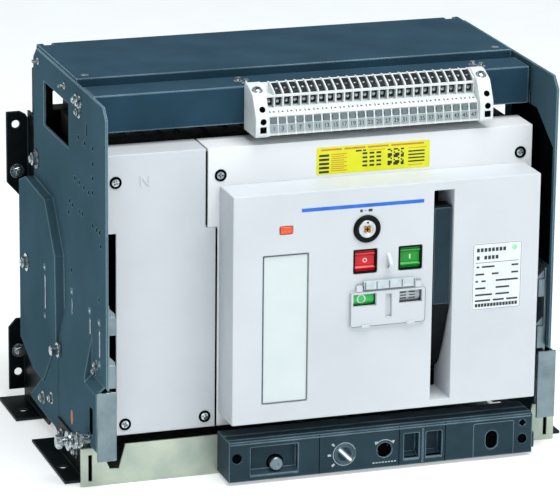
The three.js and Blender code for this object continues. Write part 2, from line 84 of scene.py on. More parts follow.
camera = bpy.data.objects.new("camera", bpy.data.cameras.new("camera"))
bpy.context.scene.collection.objects.link(camera)
camera.data.lens = 234.08
camera.data.clip_end = 30
camera.matrix_world = aim(-18.45, 16.721, 0.623, -46.939, 231.562, 4049.469)
bpy.context.scene.camera = camera


def soft_box(name, place, target, side, power):
    """A square area light at place that faces target; metres and watts."""
    lamp = bpy.data.lights.new(name, "AREA")
    lamp.size = side
    lamp.energy = power
    holder = bpy.data.objects.new(name, lamp)
    bpy.context.scene.collection.objects.link(holder)
    aim_at = (Vector(target) - Vector(place)).to_track_quat("-Z", "Y")
    holder.matrix_world = Matrix.Translation(place) @ aim_at.to_matrix().to_4x4()


soft_box("overhead", (0.2, -0.85, 2.5), (0, 0, 0.2), 1.6, 60)
soft_box("right_fill", (2.2, -1.8, 1.0), (0, 0, 0.2), 1.8, 12)
soft_box("left_sheen", (-2.2, 1.0, 1.1), (-0.25, 0.1, 0.2), 1.4, 5)


def srgb(code):
    """An sRGB hex colour as linear red, green, blue, with alpha 1."""
    parts = np.array([int(code[i : i + 2], 16) for i in (1, 3, 5)]) / 255
    linear = np.where(parts <= 0.04045, parts / 12.92, ((parts + 0.055) / 1.055) ** 2.4)
    return (*linear.tolist(), 1.0)


world = bpy.data.worlds.new("sky")
bpy.context.scene.world = world
world.use_nodes = True
world.node_tree.nodes["Background"].inputs["Color"].default_value = srgb("#e6f4f6")
world.node_tree.nodes["Background"].inputs["Strength"].default_value = 0.5
bpy.context.scene.view_settings.view_transform = "Standard"


def add(tree, kind, inputs, **settings):
    """Adds one shader node, sets its properties, and sets each input to a value or links it to a socket."""
    made = tree.nodes.new("ShaderNode" + kind)
    for key, value in settings.items():
        setattr(made, key, value)
    for key, value in inputs.items():
        if isinstance(value, bpy.types.NodeSocket):
            tree.links.new(value, made.inputs[key])
        else:
            made.inputs[key].default_value = value
    return made


def finish(name, tones, patch, grain, relief, rough, stretch=(1, 1, 1), edge_wear_and_highlight=None, **shader):
    """A surface finish whose two tones lie in soft patches, with a fine grain in relief.

    patch and grain are sizes in millimetres and relief is a height in millimetres. The roughness runs
    between the two values of rough, stretch squeezes the grain along an axis for brushed or drawn
    metal, edge_wear_and_highlight is the lighter colour painted on edges, both as wear and as a painted
    highlight, and shader sets Principled sockets directly.
    """
    made = bpy.data.materials.new(name)
    made.use_nodes = True
    tree = made.node_tree
    shell = tree.nodes["Principled BSDF"]
    for key, value in shader.items():
        shell.inputs[key.replace("_", " ")].default_value = value
    place = add(tree, "TexCoord", {}).outputs["Object"]
    cloud = add(tree, "TexNoise", {"Vector": place, "Scale": 1 / (patch * MM), "Detail": 4.0})
    ramp = add(tree, "ValToRGB", {"Fac": cloud.outputs["Fac"]})
    for stop, (position, tone) in zip(ramp.color_ramp.elements, ((0.32, tones[0]), (0.68, tones[1]))):
        stop.position = position
        stop.color = srgb(tone)
    squeezed = add(tree, "Mapping", {"Vector": place, "Scale": stretch}).outputs["Vector"]
    speck = add(tree, "TexNoise", {"Vector": squeezed, "Scale": 1 / (grain * MM), "Detail": 2.0})
    bump = add(tree, "Bump", {"Height": speck.outputs["Fac"], "Distance": relief * MM})
    gloss = add(tree, "MapRange", {"Value": speck.outputs["Fac"], "From Min": 0.3, "From Max": 0.7,
                                   "To Min": rough[0], "To Max": rough[1]})
    colour = ramp.outputs["Color"]
    # Edges, found where the Bevel node's rounded normal leaves the true normal and broken up by the patches,
    # are painted lighter: wear of the surface and a painted highlight along each edge.
    if edge_wear_and_highlight:
        eased = add(tree, "Bevel", {"Radius": 2.0 * MM}, samples=4).outputs["Normal"]
        true = add(tree, "NewGeometry", {}).outputs["Normal"]
        facing = add(tree, "VectorMath", {0: eased, 1: true}, operation="DOT_PRODUCT")
        edge = add(tree, "MapRange", {"Value": facing.outputs["Value"], "From Min": 0.995,
                                      "From Max": 0.93, "To Min": 0.0, "To Max": 1.5})
        broken = add(tree, "Math", {0: edge.outputs["Result"], 1: cloud.outputs["Fac"]},
                     operation="MULTIPLY")
        wear_and_highlight_mix = add(tree, "Mix", {"Factor": broken.outputs["Value"]}, data_type="RGBA")
        tree.links.new(colour, wear_and_highlight_mix.inputs[6])
        wear_and_highlight_mix.inputs[7].default_value = srgb(edge_wear_and_highlight)
        colour = wear_and_highlight_mix.outputs[2]
    tree.links.new(colour, shell.inputs["Base Color"])
    tree.links.new(gloss.outputs["Result"], shell.inputs["Roughness"])
    tree.links.new(bump.outputs["Normal"], shell.inputs["Normal"])
    return made


# White acrylic table lit from below: the glow keeps it near white, so the breaker's shadow stays faint.
paper = finish("light_table", ("#dfe1e2", "#e4e6e7"), 90, 2, 0.02, (0.8, 0.9), Emission_Color=(1, 1, 1, 1),
               Emission_Strength=0.44)


def skin(rows, capped=True):
    """Closed skin over rows of points: each row is joined to the next all the way round, and a flat
    face closes the first and the last row."""
    rows = np.asarray(rows, float)
    count, around = rows.shape[:2]
    i, j = np.meshgrid(np.arange(count - 1), np.arange(around), indexing="ij")
    k = (j + 1) % around
    quads = np.stack([i * around + j, i * around + k, (i + 1) * around + k, (i + 1) * around + j], -1)
    faces = quads.reshape(-1, 4).tolist()
    if capped:
        faces.append(list(range(around))[::-1])
        faces.append(list(range((count - 1) * around, count * around)))
    return rows.reshape(-1, 3), faces


def joined(parts):
    """Several parts as one: the points in one array and the faces with their numbers moved on."""
    starts = np.cumsum([0] + [len(points) for points, _ in parts])
    faces = [[v + int(s) for v in face] for s, (_, found) in zip(starts, parts) for face in found]
    return np.concatenate([points for points, _ in parts]), faces


def rounded(made, edge):
    """Rounds the sharp edges of an object by a radius in millimetres."""
    rounding = made.modifiers.new("rounded_edges", "BEVEL")
    rounding.width = edge * MM
    rounding.segments = 2
    rounding.limit_method = "ANGLE"
    rounding.angle_limit = math.radians(34)
    rounding.use_clamp_overlap = False
    rounding.harden_normals = True


def piece(name, parts, finish_of, body, edge=0.0, stands_for=()):
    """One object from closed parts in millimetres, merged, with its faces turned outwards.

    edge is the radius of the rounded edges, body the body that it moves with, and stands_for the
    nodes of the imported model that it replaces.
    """
    points, faces = joined(parts)
    mesh = bpy.data.meshes.new(name)
    mesh.from_pydata((points * MM).tolist(), [], faces)
    shape = bmesh.new()
    shape.from_mesh(mesh)
    bmesh.ops.remove_doubles(shape, verts=shape.verts, dist=1e-6)
    bmesh.ops.recalc_face_normals(shape, faces=shape.faces)
    shape.to_mesh(mesh)
    shape.free()
    mesh.materials.append(finish_of)
    mesh.shade_smooth()
    mesh.set_sharp_from_angle(angle=math.radians(34))
    made = bpy.data.objects.new(name, mesh)
    bpy.context.scene.collection.objects.link(made)
    if edge:
        rounded(made, edge)
    if body:
        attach(made, body)
    if stands_for:
        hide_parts(*stands_for)
    return made


AXES = {"x": (1, 2, 0), "y": (0, 2, 1), "z": (0, 1, 2)}


def drawn(outline, axis, start, end):
    """An outline in the two axes other than axis, drawn out from start to end along it."""
    rows = np.zeros((2, len(outline), 3))
    u, v, along = AXES[axis]
    rows[:, :, u] = np.asarray(outline)[:, 0]
    rows[:, :, v] = np.asarray(outline)[:, 1]
    rows[0, :, along] = start
    rows[1, :, along] = end
    return skin(rows)


def box(u0, u1, v0, v1, radius=0.0, steps=5):
    """Rectangle outline; with a radius, each corner is a quarter circle in a few steps."""
    if not radius:
        return np.array([(u0, v0), (u1, v0), (u1, v1), (u0, v1)], float)
    angles = np.radians(np.linspace(0, 90, steps))
    corners = ((u1, v1, 0), (u0, v1, 90), (u0, v0, 180), (u1, v0, 270))
    outline = []
    for u, v, turn in corners:
        around = angles + math.radians(turn)
        inward = np.array([-1 if u == u1 else 1, -1 if v == v1 else 1]) * radius
        outline.append(np.array([u, v]) + inward + radius * np.stack([np.cos(around), np.sin(around)], -1))
    return np.concatenate(outline)


floor = piece("floor", [drawn(box(-14000, 14000, -14000, 14000), "z", -6, -0.4)], paper, None)

# ---------------------------------------------------------------- side plates
# Each side plate is one pressing of 3 mm sheet steel with a hand window, a pan pressed outwards at the
# rear, a stepped foot and many small pilot holes. It is powder coated after pressing.

# Blue-grey polyester powder coat: an even satin skin with a fine orange peel, and edges painted lighter,
# both as thin coat and as a painted highlight where they catch the light.
powder_coat = finish("blue_grey_powder_coat", ("#233c4b", "#2a4657"), 60, 0.9, 0.02, (0.36, 0.5),
                     edge_wear_and_highlight="#a9c3d0", Specular_IOR_Level=0.02)
# The same coat on the side plates in a paler, fully matt tone: the paler tone is painted light,
# for plates that stand in low light.
plate_coat_painted_paler = finish("pressed_plate_powder_coat_painted_paler", ("#3b545f", "#46616e"), 140, 0.9, 0.02, (0.4, 0.55),
                    edge_wear_and_highlight="#8fa9b4", Specular_IOR_Level=0.0)
# Bright chromated zinc on bolts and screws, in small clouds of dark and bright metal: some cloudiness of
# the plating, and painted highlights and dark reflections that give the small heads their contrast.
screw_zinc = finish("bright_screw_zinc", ("#58646a", "#d3dcdf"), 3.5, 0.8, 0.015, (0.12, 0.3), Metallic=0.9)
# Bright zinc plate on rolled steel: cool silver with faint drawn streaks and cloudy patches.
bright_zinc = finish("bright_zinc_plate", ("#6b7c82", "#849398"), 26, 0.8, 0.015, (0.24, 0.42),
                     stretch=(1, 1, 0.06), Metallic=0.92)
# Flat black for painted shade: it fills holes, slots, recesses and gaps between parts, and has no gloss
# at all, so it reads as depth.
shadow_black = finish("shadow_black", ("#040506", "#08090a"), 6, 0.6, 0.02, (0.6, 0.8),
                      Specular_IOR_Level=0.0)


def merged_copy(node):
    """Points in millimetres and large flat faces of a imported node, from its loose triangles."""
    source = frame["nodes"][node].data
    shape = bmesh.new()
    shape.from_mesh(source)
    bmesh.ops.remove_doubles(shape, verts=shape.verts, dist=2e-6)
    bmesh.ops.dissolve_limit(shape, angle_limit=math.radians(1), verts=shape.verts, edges=shape.edges)
    points = np.array([vertex.co for vertex in shape.verts]) / MM
    faces = [[vertex.index for vertex in face.verts] for face in shape.faces]
    shape.free()
    return points, faces


def softened(node, finish_of, edge, holes=()):
    """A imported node's own shape with rounded edges in place of sharp ones, cut by holes if any."""
    body = frame["nodes"][node]["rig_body"]
    made = piece(node + "_finished", [merged_copy(node)], finish_of, body, stands_for=[node])
    if holes:
        tool = piece(node + "_tool", holes, finish_of, None)
        cut = made.modifiers.new("holes", "BOOLEAN")
        cut.object = tool
        cut.solver = "EXACT"
        bpy.context.view_layer.update()
        graph = bpy.context.evaluated_depsgraph_get()
        drilled = bpy.data.meshes.new_from_object(made.evaluated_get(graph))
        made.modifiers.clear()
        made.data = drilled
        bpy.data.objects.remove(tool)
        drilled.shade_smooth()
        drilled.set_sharp_from_angle(angle=math.radians(34))
    rounded(made, edge)
    return made


def turned(profile, centre, axis, way=1, sides=28, start=0.0):
    """A lathe shape: profile pairs (radius, height) turned about axis through centre; way is the sense
    of height along the axis, and start the angle of the first side in degrees."""
    profile = np.asarray(profile, float)
    angles = np.radians(start) + np.linspace(0, 2 * np.pi, sides, endpoint=False)
    u, v, along = AXES[axis]
    rows = np.zeros((len(profile), sides, 3))
    rows[:, :, u] = centre[u] + profile[:, :1] * np.cos(angles)
    rows[:, :, v] = centre[v] + profile[:, :1] * np.sin(angles)
    rows[:, :, along] = centre[along] + way * profile[:, 1:]
    return skin(rows)


def hex_bolt(centre, axis, way, across, washer=True):
    """A hexagon head with a chamfered top on a plain washer, standing on centre."""
    reach = across / math.sqrt(3)
    flat = 0.12 * across if washer else 0.0
    head = [(reach, flat * 0.9), (reach, flat + 0.34 * across), (0.88 * reach, flat + 0.4 * across)]
    parts = [turned(head, centre, axis, way, 6, 12)]
    tip = [(0.34 * across, flat + 0.3 * across), (0.34 * across, flat + 0.52 * across),
           (0.26 * across, flat + 0.58 * across)]
    parts.append(turned(tip, centre, axis, way, 16))
    if washer:
        ring = [(0.1, -0.3), (0.86 * across, -0.3), (0.88 * across, flat), (0.62 * across, flat)]
        parts.append(turned(ring, centre, axis, way, 24))
    return parts


def screw_end(centre, axis, way, radius, length):
    """The end of a screw that comes through a sheet: a thin nut and a thread of small waves."""
    steps = int(length / 0.3) - 3
    waves = [(radius + 0.22 * math.cos(2 * math.pi * k / 3), 1 + k * 0.3) for k in range(steps)]
    crests = [(0, 0)] + waves + [(0, waves[-1][1] + 0.3)]
    nut = [(0.2, -0.3), (2.1 * radius, -0.3), (2.1 * radius, 0.9), (1.8 * radius, 1.3), (0.2, 1.3)]
    return [turned(nut, centre, axis, way, 18), turned(crests, centre, axis, way, 14)]


def pan_screw(centre, axis, way, radius):
    """A pan head: a low dome whose height follows a quarter ellipse."""
    angles = np.radians(np.linspace(0, 90, 6))
    dome = [(radius, -0.3)] + [(radius * math.cos(a), 0.25 * radius + 0.4 * radius * math.sin(a))
                               for a in angles]
    return [turned(dome, centre, axis, way, 24)]


def cross_bars(centre, axis, way, radius, height, turn=20):
    """Two thin crossed bars on top of a screw head, which stand for the cross recess as painted shade."""
    u, v, along = AXES[axis]
    parts = []
    for angle in (turn, turn + 90):
        c, s = math.cos(math.radians(angle)), math.sin(math.radians(angle))
        corners = box(-0.62 * radius, 0.62 * radius, -0.13 * radius, 0.13 * radius) @ [[c, s], [-s, c]]
        near = centre[along] + way * (height - 0.3)
        far = centre[along] + way * (height + 0.06)
        parts.append(drawn(corners + [centre[u], centre[v]], axis, near, far))
    return parts


def mirrored(parts):
    """The same parts on the other side of the breaker."""
    return [(points * [-1, 1, 1], faces) for points, faces in parts]


def both_sides(name, parts, finish_of, edge=0.0):
    """One piece on the left of the cradle and its mirror image on the right."""
    piece(name + "_left", parts, finish_of, "cradle", edge)
    piece(name + "_right", mirrored(parts), finish_of, "cradle", edge)


SIDE = -257.0  # outer face of the left plate
PAN = -268.0  # outer face of its pressed pan
FOOT = -266.0  # outer face of its foot zone
PILOTS = ((71, 373), (45, 373), (13, 375), (13, 358), (13.5, 342), (14, 326), (86, 323), (68, 323),
          (49, 322), (29, 322), (109, 291), (96, 290), (114, 277), (69, 290), (56, 291), (13.6, 289),
          (-2, 289), (-13.6, 289), (-18, 275), (103.5, 213.5), (-10, 213))
pilot_holes = [turned([(2.3, 0), (2.3, 12)], (-262, y, z), "x", 1, 12) for y, z in PILOTS]
pilot_holes.append(drawn(box(35.2, 38.4, 382.5, 397.5, 1.4), "x", -262, -250))
softened("side_plate_left", plate_coat_painted_paler, 0.7, pilot_holes)
softened("side_plate_right", plate_coat_painted_paler, 0.7, mirrored(pilot_holes))

# Painted shade: flat black discs fill the pilot holes and the slot, and a black sheet lies inside each
# plate in front, where its inner face is in shade.
hole_shade = [turned([(0, 0), (2.3, 0), (2.3, 2.6), (0, 2.6)], (-256.9, y, z), "x", 1, 12) for y, z in PILOTS]
hole_shade.append(drawn(box(35.3, 38.3, 382.6, 397.4, 1.4), "x", -256.9, -254.3))
inner_face_shade = [drawn([(-33, 216), (88, 216), (88, 383), (16, 383), (-33, 350)], "x", -253.9, -253.3)]
both_sides("side_plate_hole_shade", hole_shade + inner_face_shade, shadow_black)


def groove(y, low, high, face):
    """A pressed stiffening groove: a half-round bead along z that fades into the sheet at both ends."""
    t = np.linspace(0, 1, 15)
    swell = np.minimum(1, 4 * np.minimum(t, 1 - t)) ** 0.5
    angles = np.linspace(0, 2 * np.pi, 14, endpoint=False)
    rows = np.zeros((15, 14, 3))
    rows[:, :, 0] = face - 1.1 * swell[:, None] * np.cos(angles)
    rows[:, :, 1] = y + (1.6 * swell[:, None] + 0.05) * np.sin(angles)
    rows[:, :, 2] = (low + (high - low) * t)[:, None]
    return skin(rows)


def dimple(y, z, face):
    """A raised pressed ring at the end of a groove."""
    return turned([(3.2, -0.5), (4.3, 0.0), (3.6, 0.9), (2.6, 0.5), (2.4, -0.5)], (face, y, z), "x", -1, 20)


# Bright zinc strips beside each groove are painted highlights along its edge; pan heads sit at the dimples.
grooves = []
groove_highlights_and_rivets = []
for y, low, high, face in ((175, 146, 191, PAN), (100, 139, 184, SIDE), (26, 147, 184, SIDE),
                           (-12.5, 147, 182, SIDE)):
    grooves += [groove(y, low, high, face), dimple(y, high + 6, face), dimple(y, low - 6, face)]
    groove_highlights_and_rivets += [drawn(box(y - 4.2, y - 1.9, low + 3, high - 3, 0.8), "x", face - 0.6, face + 0.5)]
    for z in (low - 6, high + 6):
        groove_highlights_and_rivets += pan_screw((face, y - 1, z), "x", -1, 1.9)
both_sides("side_plate_beads", grooves, plate_coat_painted_paler)
both_sides("side_plate_groove_highlights_and_rivets", groove_highlights_and_rivets, screw_zinc)

# The skirt: the plate's lower edge between the stepped foot zone and the rear corner.
skirt_outline = [(126, 13), (126, 119), (131, 121), (187, 57.2), (200, 57.6), (252, 22), (249, 19.5),
                 (183, 18), (143, 18.5)]
skirt = [drawn(skirt_outline, "x", FOOT, FOOT + 3)]
both_sides("side_plate_skirt", skirt, plate_coat_painted_paler, 0.4)

side_bolts = []
for y, z, across in ((78, 412.5, 8), (61.9, 414, 8), (66, 402, 8), (-2, 137, 7), (5, 128, 7)):
    side_bolts += hex_bolt((SIDE, y, z), "x", -1, across)
side_bolts += hex_bolt((PAN, 255.4, 179.3), "x", -1, 12) + hex_bolt((SIDE, 250, 302), "x", -1, 13)
side_bolts += hex_bolt((FOOT, 193, 36.7), "x", -1, 9) + hex_bolt((FOOT, 155.7, 48.2), "x", -1, 8)
for y, z in ((238, 418), (125, 417)):
    side_bolts += screw_end((SIDE, y, z), "x", -1, 2.0, 8)
side_pin = [(8.5, -0.5), (8.5, 2.2), (5.6, 2.2), (5.6, 9.5), (4.6, 10.5), (0, 10.5)]
side_bolts.append(turned(side_pin, (PAN + 1, 120.3, 116.6), "x", -1))
both_sides("side_bolts", side_bolts, screw_zinc, 0.25)

# Orange seal paint on the locked adjuster of the stepped foot zone: glossy, thick and a little uneven.
seal_paint = finish("orange_seal_paint", ("#a0421a", "#b85022"), 4, 0.9, 0.1, (0.25, 0.4), IOR=1.5)
seal = [turned([(5, -0.3), (5, 0.5), (3.4, 0.9), (0, 1.1)], (0, 0, 0), "x", -1, 24)]
seal = [(points * [1, 1, 1.7] + [FOOT, 68.4, 54.8], faces) for points, faces in seal]
piece("seal_mark_left", seal, seal_paint, "cradle")
# Painted shade: a flat black patch for the adjuster slot in the foot zone.
adjuster = [drawn(box(-16.5, -4.5, 62, 92, 4), "x", FOOT - 0.15, FOOT + 0.5)]
both_sides("foot_adjuster_slot", adjuster, shadow_black)

# ---------------------------------------------------------------- top cover and crossbar
# Folded sheet, coated like the side plates. The cover is held by four sunk screws and the crossbar by
# bolts through its end flanges; two pairs of small screws carry the terminal rail below it.
softened("top_cover", powder_coat, 1.2)
softened("crossbar", powder_coat, 1.4)
sunk = [(0, -1.6), (3.1, -1.6), (5.2, -0.3), (5.2, -0.1), (2.4, -0.15), (0, -0.5)]
cover_fixings = [turned(sunk, (x, y, 432), "z", 1) for x in (-239, 239) for y in (108, 246)]
for x, y in ((-82, 53), (-76, 43), (190.5, 53), (197, 44)):
    cover_fixings += screw_end((x, y, 427), "z", 1, 2.5, 4.8)
piece("top_fixings", cover_fixings, screw_zinc, "cradle")

# ---------------------------------------------------------------- base tray, feet and rear brackets
# The tray is a folded sheet with a notched front plate. The feet and the rear brackets are black coated
# angles bolted to the plates; each has a hole for the bolt that holds the breaker in its cubicle.

# Yellow-passivated zinc: a pale greenish cream in soft clouds, drawn out along the sheet.
passivated_zinc = finish("yellow_passivated_zinc", ("#a1aea3", "#bcc5b4"), 34, 1.2, 0.02, (0.34, 0.5),
                         stretch=(0.05, 1, 1), Metallic=0.55)
# Black cathodic coat: nearly black and satin, with edges painted lighter, both as wear of the thin coat and
# as a painted highlight.
black_coat = finish("black_dip_coat", ("#080d0f", "#10171a"), 30, 0.8, 0.02, (0.32, 0.5),
                    edge_wear_and_highlight="#43525a", Specular_IOR_Level=0.06)
softened("base_tray", passivated_zinc, 0.6)
# Painted shade: thin flat black plates at the back of the tray's side notches.
slot_backs = [drawn(box(-270.5, -262.5, 3, 39), "y", -3.5, -3.1)]
piece("tray_slot_backs", slot_backs + mirrored(slot_backs), shadow_black, "cradle")
for side in ("left", "right"):
    for part in ("foot_front_", "bracket_rear_lower_", "bracket_rear_upper_"):
        softened(part + side, black_coat, 0.6)
bracket_bolts = hex_bolt((-267, 301, 275), "y", -1, 9.5) + hex_bolt((-267, 301, 59), "y", -1, 9.5)
bracket_bolts += hex_bolt((-269.6, 100, 24), "x", -1, 8) + hex_bolt((-269.6, 40, 24), "x", -1, 8)
both_sides("bracket_bolts", bracket_bolts, screw_zinc, 0.25)

# Interlock stub: a threaded shaft end with a collar, two jam nuts, a washer and an end nut. The thread
# is a radius that rises and falls once a pitch along the shaft.
STUB_Y, STUB_Z = 0, 53
t = np.arange(0, 47.6, 0.35)
thread = [(0, 0)] + [(4.6 + 0.45 * math.cos(2 * math.pi * s / 1.5), s) for s in t] + [(0, 47.6)]
stub = [turned(thread, (-255.2, STUB_Y, STUB_Z), "x", -1, 20)]
for start, length, radius, sides in ((258, 4.7, 8.4, 24), (274, 5, 9.5, 6), (280, 5, 9.5, 6),
                                     (288, 3, 11, 28), (297, 6, 8, 6)):
    nut = [(4, 0), (radius * 0.9, 0), (radius, 0.6), (radius, length - 0.6), (radius * 0.9, length),
           (4, length)]
    stub.append(turned(nut, (-start, STUB_Y, STUB_Z), "x", -1, sides))
piece("interlock_stub_turned", stub, screw_zinc, "cradle", stands_for=["interlock_stub"])

# ---------------------------------------------------------------- rear board and main terminals
# The board is compression moulded polyester with a raised frame round every terminal window, held by
# screws. The terminals are thick copper bars, tin plated, with rounded edges.

# Glass-filled polyester moulding compound: matt red-brown with a slightly fibrous, mottled skin.
moulding_compound = finish("polyester_moulding_compound", ("#1c1512", "#2a1e19"), 9, 1.5, 0.05, (0.5, 0.75),
                           Specular_IOR_Level=0.16)
# Tin plate on copper: a soft warm silver, dull in patches, with marks drawn along the bar.
tinned_copper = finish("tinned_copper", ("#b9a493", "#d2c4b6"), 12, 1.0, 0.02, (0.28, 0.45),
                       stretch=(1, 0.06, 1), Metallic=0.9)
softened("rear_board", moulding_compound, 1.0)
POLES = (-172.5, -57.5, 57.5, 172.5)
UPPER, LOWER = 262, 125


def frame_round(u0, u1, v0, v1, width, axis, start, end, radius=1.5):
    """A flat rectangular frame: its outer outline, its inner outline, drawn out along axis."""
    outer = box(u0 - width, u1 + width, v0 - width, v1 + width, radius + width)
    inner = box(u0, u1, v0, v1, radius)
    u, v, along = AXES[axis]
    rows = np.zeros((5, len(outer), 3))
    for row, (outline, level) in enumerate(((inner, start), (outer, start), (outer, end), (inner, end),
                                            (inner, start))):
        rows[row, :, u] = outline[:, 0]
        rows[row, :, v] = outline[:, 1]
        rows[row, :, along] = level
    return skin(rows, capped=False)


window_frames = [frame_round(x - 46, x + 46, z - 10, z + 10, 5, "y", 299.5, 302.5)
                 for x in POLES for z in (UPPER, LOWER)]
ribs = [drawn(box(x - 1.6, x + 1.6, 20, 384, 0.8), "y", 299.5, 302.5) for x in (-115, 0, 115)]
piece("rear_board_ribs", window_frames + ribs, moulding_compound, "cradle", 0.5)
board_screws = []
for x in (-238, -115, 0, 115, 238):
    for z in (24, 196, 374):
        board_screws += hex_bolt((x + (9 if abs(x) < 200 else 0), 300, z), "y", 1, 8)
piece("rear_board_screws", board_screws, screw_zinc, "cradle")
for number in (1, 2, 3, 4):
    softened(f"upper_terminal_{number}", tinned_copper, 0.9)
    softened(f"lower_terminal_{number}", tinned_copper, 0.9)

# ---------------------------------------------------------------- secondary terminal block
# Two stepped rows of screw clamps in light grey polyamide, with a fixing cap at each end. Thin walls
# part the clamps, numbered strips are snapped on below them, and every clamp has a steel cage painted
# near black for the shade deep in its well.

# Glass-filled polyamide: light grey, a little translucent, with a fine dull grain.
polyamide = finish("light_grey_polyamide", ("#cfd4d5", "#dfe3e3"), 20, 0.7, 0.02, (0.42, 0.6),
                   Subsurface_Weight=0.04, Subsurface_Radius=(0.002, 0.002, 0.002), IOR=1.53)
# Clamp cages: steel painted near black as painted shade of the deep clamp wells, with small brighter
# scratches.
clamp_steel = finish("clamp_steel_painted_shade", ("#0b0c0d", "#2a2e31"), 2.5, 0.7, 0.03, (0.3, 0.6),
                     Metallic=0.6)
CLAMPS = 24
BLOCK_LEFT, BLOCK_RIGHT = -65.0, 175.0
PITCH = (BLOCK_RIGHT - BLOCK_LEFT) / CLAMPS
wall = [(31.7, 380), (31.7, 431), (24, 431), (8, 423.5), (8, 407), (-4, 400), (-7.2, 384), (-7.9, 380)]
core = [(31.7, 380.3), (31.7, 430), (28, 430), (23.5, 420), (8.6, 421.2), (8.6, 418.4), (19, 418.4),
        (19, 409), (8, 406.6), (-3.4, 399.8), (-6.9, 384), (-7.5, 380.3)]
core_lines = [drawn(core, "x", BLOCK_LEFT, BLOCK_RIGHT)]
walls = [drawn(wall, "x", BLOCK_LEFT + k * PITCH - 0.9, BLOCK_LEFT + k * PITCH + 0.9)
         for k in range(CLAMPS + 1)]
lips = [drawn([(9.2, 421), (7.4, 421), (7.4, 418.6), (9.2, 418.6)], "x", BLOCK_LEFT, BLOCK_RIGHT),
        drawn([(8, 407.4), (6.6, 407.4), (-4.6, 401), (-4, 399.6), (8, 406)], "x", BLOCK_LEFT, BLOCK_RIGHT)]
piece("terminal_housing", core_lines + walls + lips, polyamide, "cradle", 0.25,
      stands_for=["terminal_block"])
cages = []
glints = []
for k in range(CLAMPS):
    x = BLOCK_LEFT + (k + 0.5) * PITCH
    cages.append(drawn([(18.9, 409.1), (18.9, 418.3), (12.5, 418.3), (14.5, 409.1)], "x", x - 3.7, x + 3.7))
    glints += pan_screw((x, 13.4, 413.6), "y", -1, 2.3)
    if k:
        middle = BLOCK_LEFT + k * PITCH + PITCH / 2
        cages.append(drawn([(23.4, 420.3), (27.6, 429.6), (21, 428), (14, 422.6), (11, 421.0)], "x",
                           middle - 3.7, middle + 3.7))
        glints += pan_screw((middle, 18.6, 425.4), "z", 1, 2.2)
piece("terminal_cages", cages, clamp_steel, "cradle", 0.2)
piece("terminal_screws", glints, screw_zinc, "cradle")

cap = np.array([(31.7, 379), (31.7, 429), (29, 431.7), (22, 431.7), (4, 424.6), (1.5, 422.4), (-9.2, 402.6),
                (-10, 399), (-10, 381), (-8, 379)])
caps = [drawn(cap, "x", BLOCK_LEFT - 16.8, BLOCK_LEFT - 1),
        drawn(cap, "x", BLOCK_RIGHT + 1, BLOCK_RIGHT + 16.8)]
piece("terminal_caps", caps, polyamide, "cradle", 0.9)


def placed(parts, origin, right, up):
    """Parts drawn flat, x along right and y along up and z outwards, moved onto a plane at origin."""
    right, up = (np.array(v, float) / np.linalg.norm(v) for v in (right, up))
    outwards = np.cross(right, up)
    return [(points @ np.stack([right, up, outwards]) + np.asarray(origin, float), faces)
            for points, faces in parts]


SLOPE = (0, 18, 7.3)  # rise of the caps' upper face, from front to back
cap_screws = []
# Painted shade in flat black: the cap screws' cross recesses, the wells on the caps' sloped and front faces,
# and a slot on each front.
cap_well_shade = []
for x in (BLOCK_LEFT - 9, BLOCK_RIGHT + 9):
    head = [turned([(6.2, -0.6), (6.2, 0.6), (4.8, 0.9), (4.6, 2.6), (3.4, 3.3), (0, 3.5)], (0, 0, 0), "z")]
    cap_screws += placed(head, (x, 10.5, 426.6), (1, 0, 0), SLOPE)
    cap_well_shade += placed(cross_bars((0, 0, 0), "z", 1, 4.6, 3.4, 35), (x, 10.5, 426.6), (1, 0, 0), SLOPE)
    cap_well_shade += placed([turned([(3.4, -0.5), (3.4, 0.12), (0, 0.12)], (0, 0, 0), "z")],
                        (x + 1, -5.6, 409.4), (1, 0, 0), (0, 10.7, 19.8))
    cap_well_shade.append(turned([(3.4, -0.5), (3.4, 0.12), (0, 0.12)], (x + 1, -10, 396.6), "y", -1))
    cap_well_shade.append(drawn(box(x - 2.6, x + 4.6, 384, 391, 0.6), "y", -10, -9.5))
piece("terminal_cap_screws", cap_screws, screw_zinc, "cradle", 0.2)
piece("terminal_cap_wells", cap_well_shade, shadow_black, "cradle")

# Black marking ink: flat and crisp, a dark grey rather than a full black.
black_ink = finish("black_print_ink", ("#1c2022", "#262b2e"), 5, 0.8, 0.01, (0.45, 0.6))


def lettering(text, size, origin, right, up, thick=0.1):
    """Numbers or a pole mark, centred on origin in the plane of right and up."""
    curve = bpy.data.curves.new("lettering", "FONT")
    curve.body = text
    curve.size = size
    curve.align_x = "CENTER"
    curve.align_y = "CENTER"
    curve.extrude = thick
    curve.resolution_u = 2
    holder = bpy.data.objects.new("lettering", curve)
    bpy.context.scene.collection.objects.link(holder)
    bpy.context.view_layer.update()
    flat = bpy.data.meshes.new_from_object(holder.evaluated_get(bpy.context.evaluated_depsgraph_get()))
    points = np.empty(len(flat.vertices) * 3)
    flat.vertices.foreach_get("co", points)
    faces = [list(face.vertices) for face in flat.polygons]
    bpy.data.objects.remove(holder)
    bpy.data.meshes.remove(flat)
    return placed([(points.reshape(-1, 3), faces)], origin, right, up)


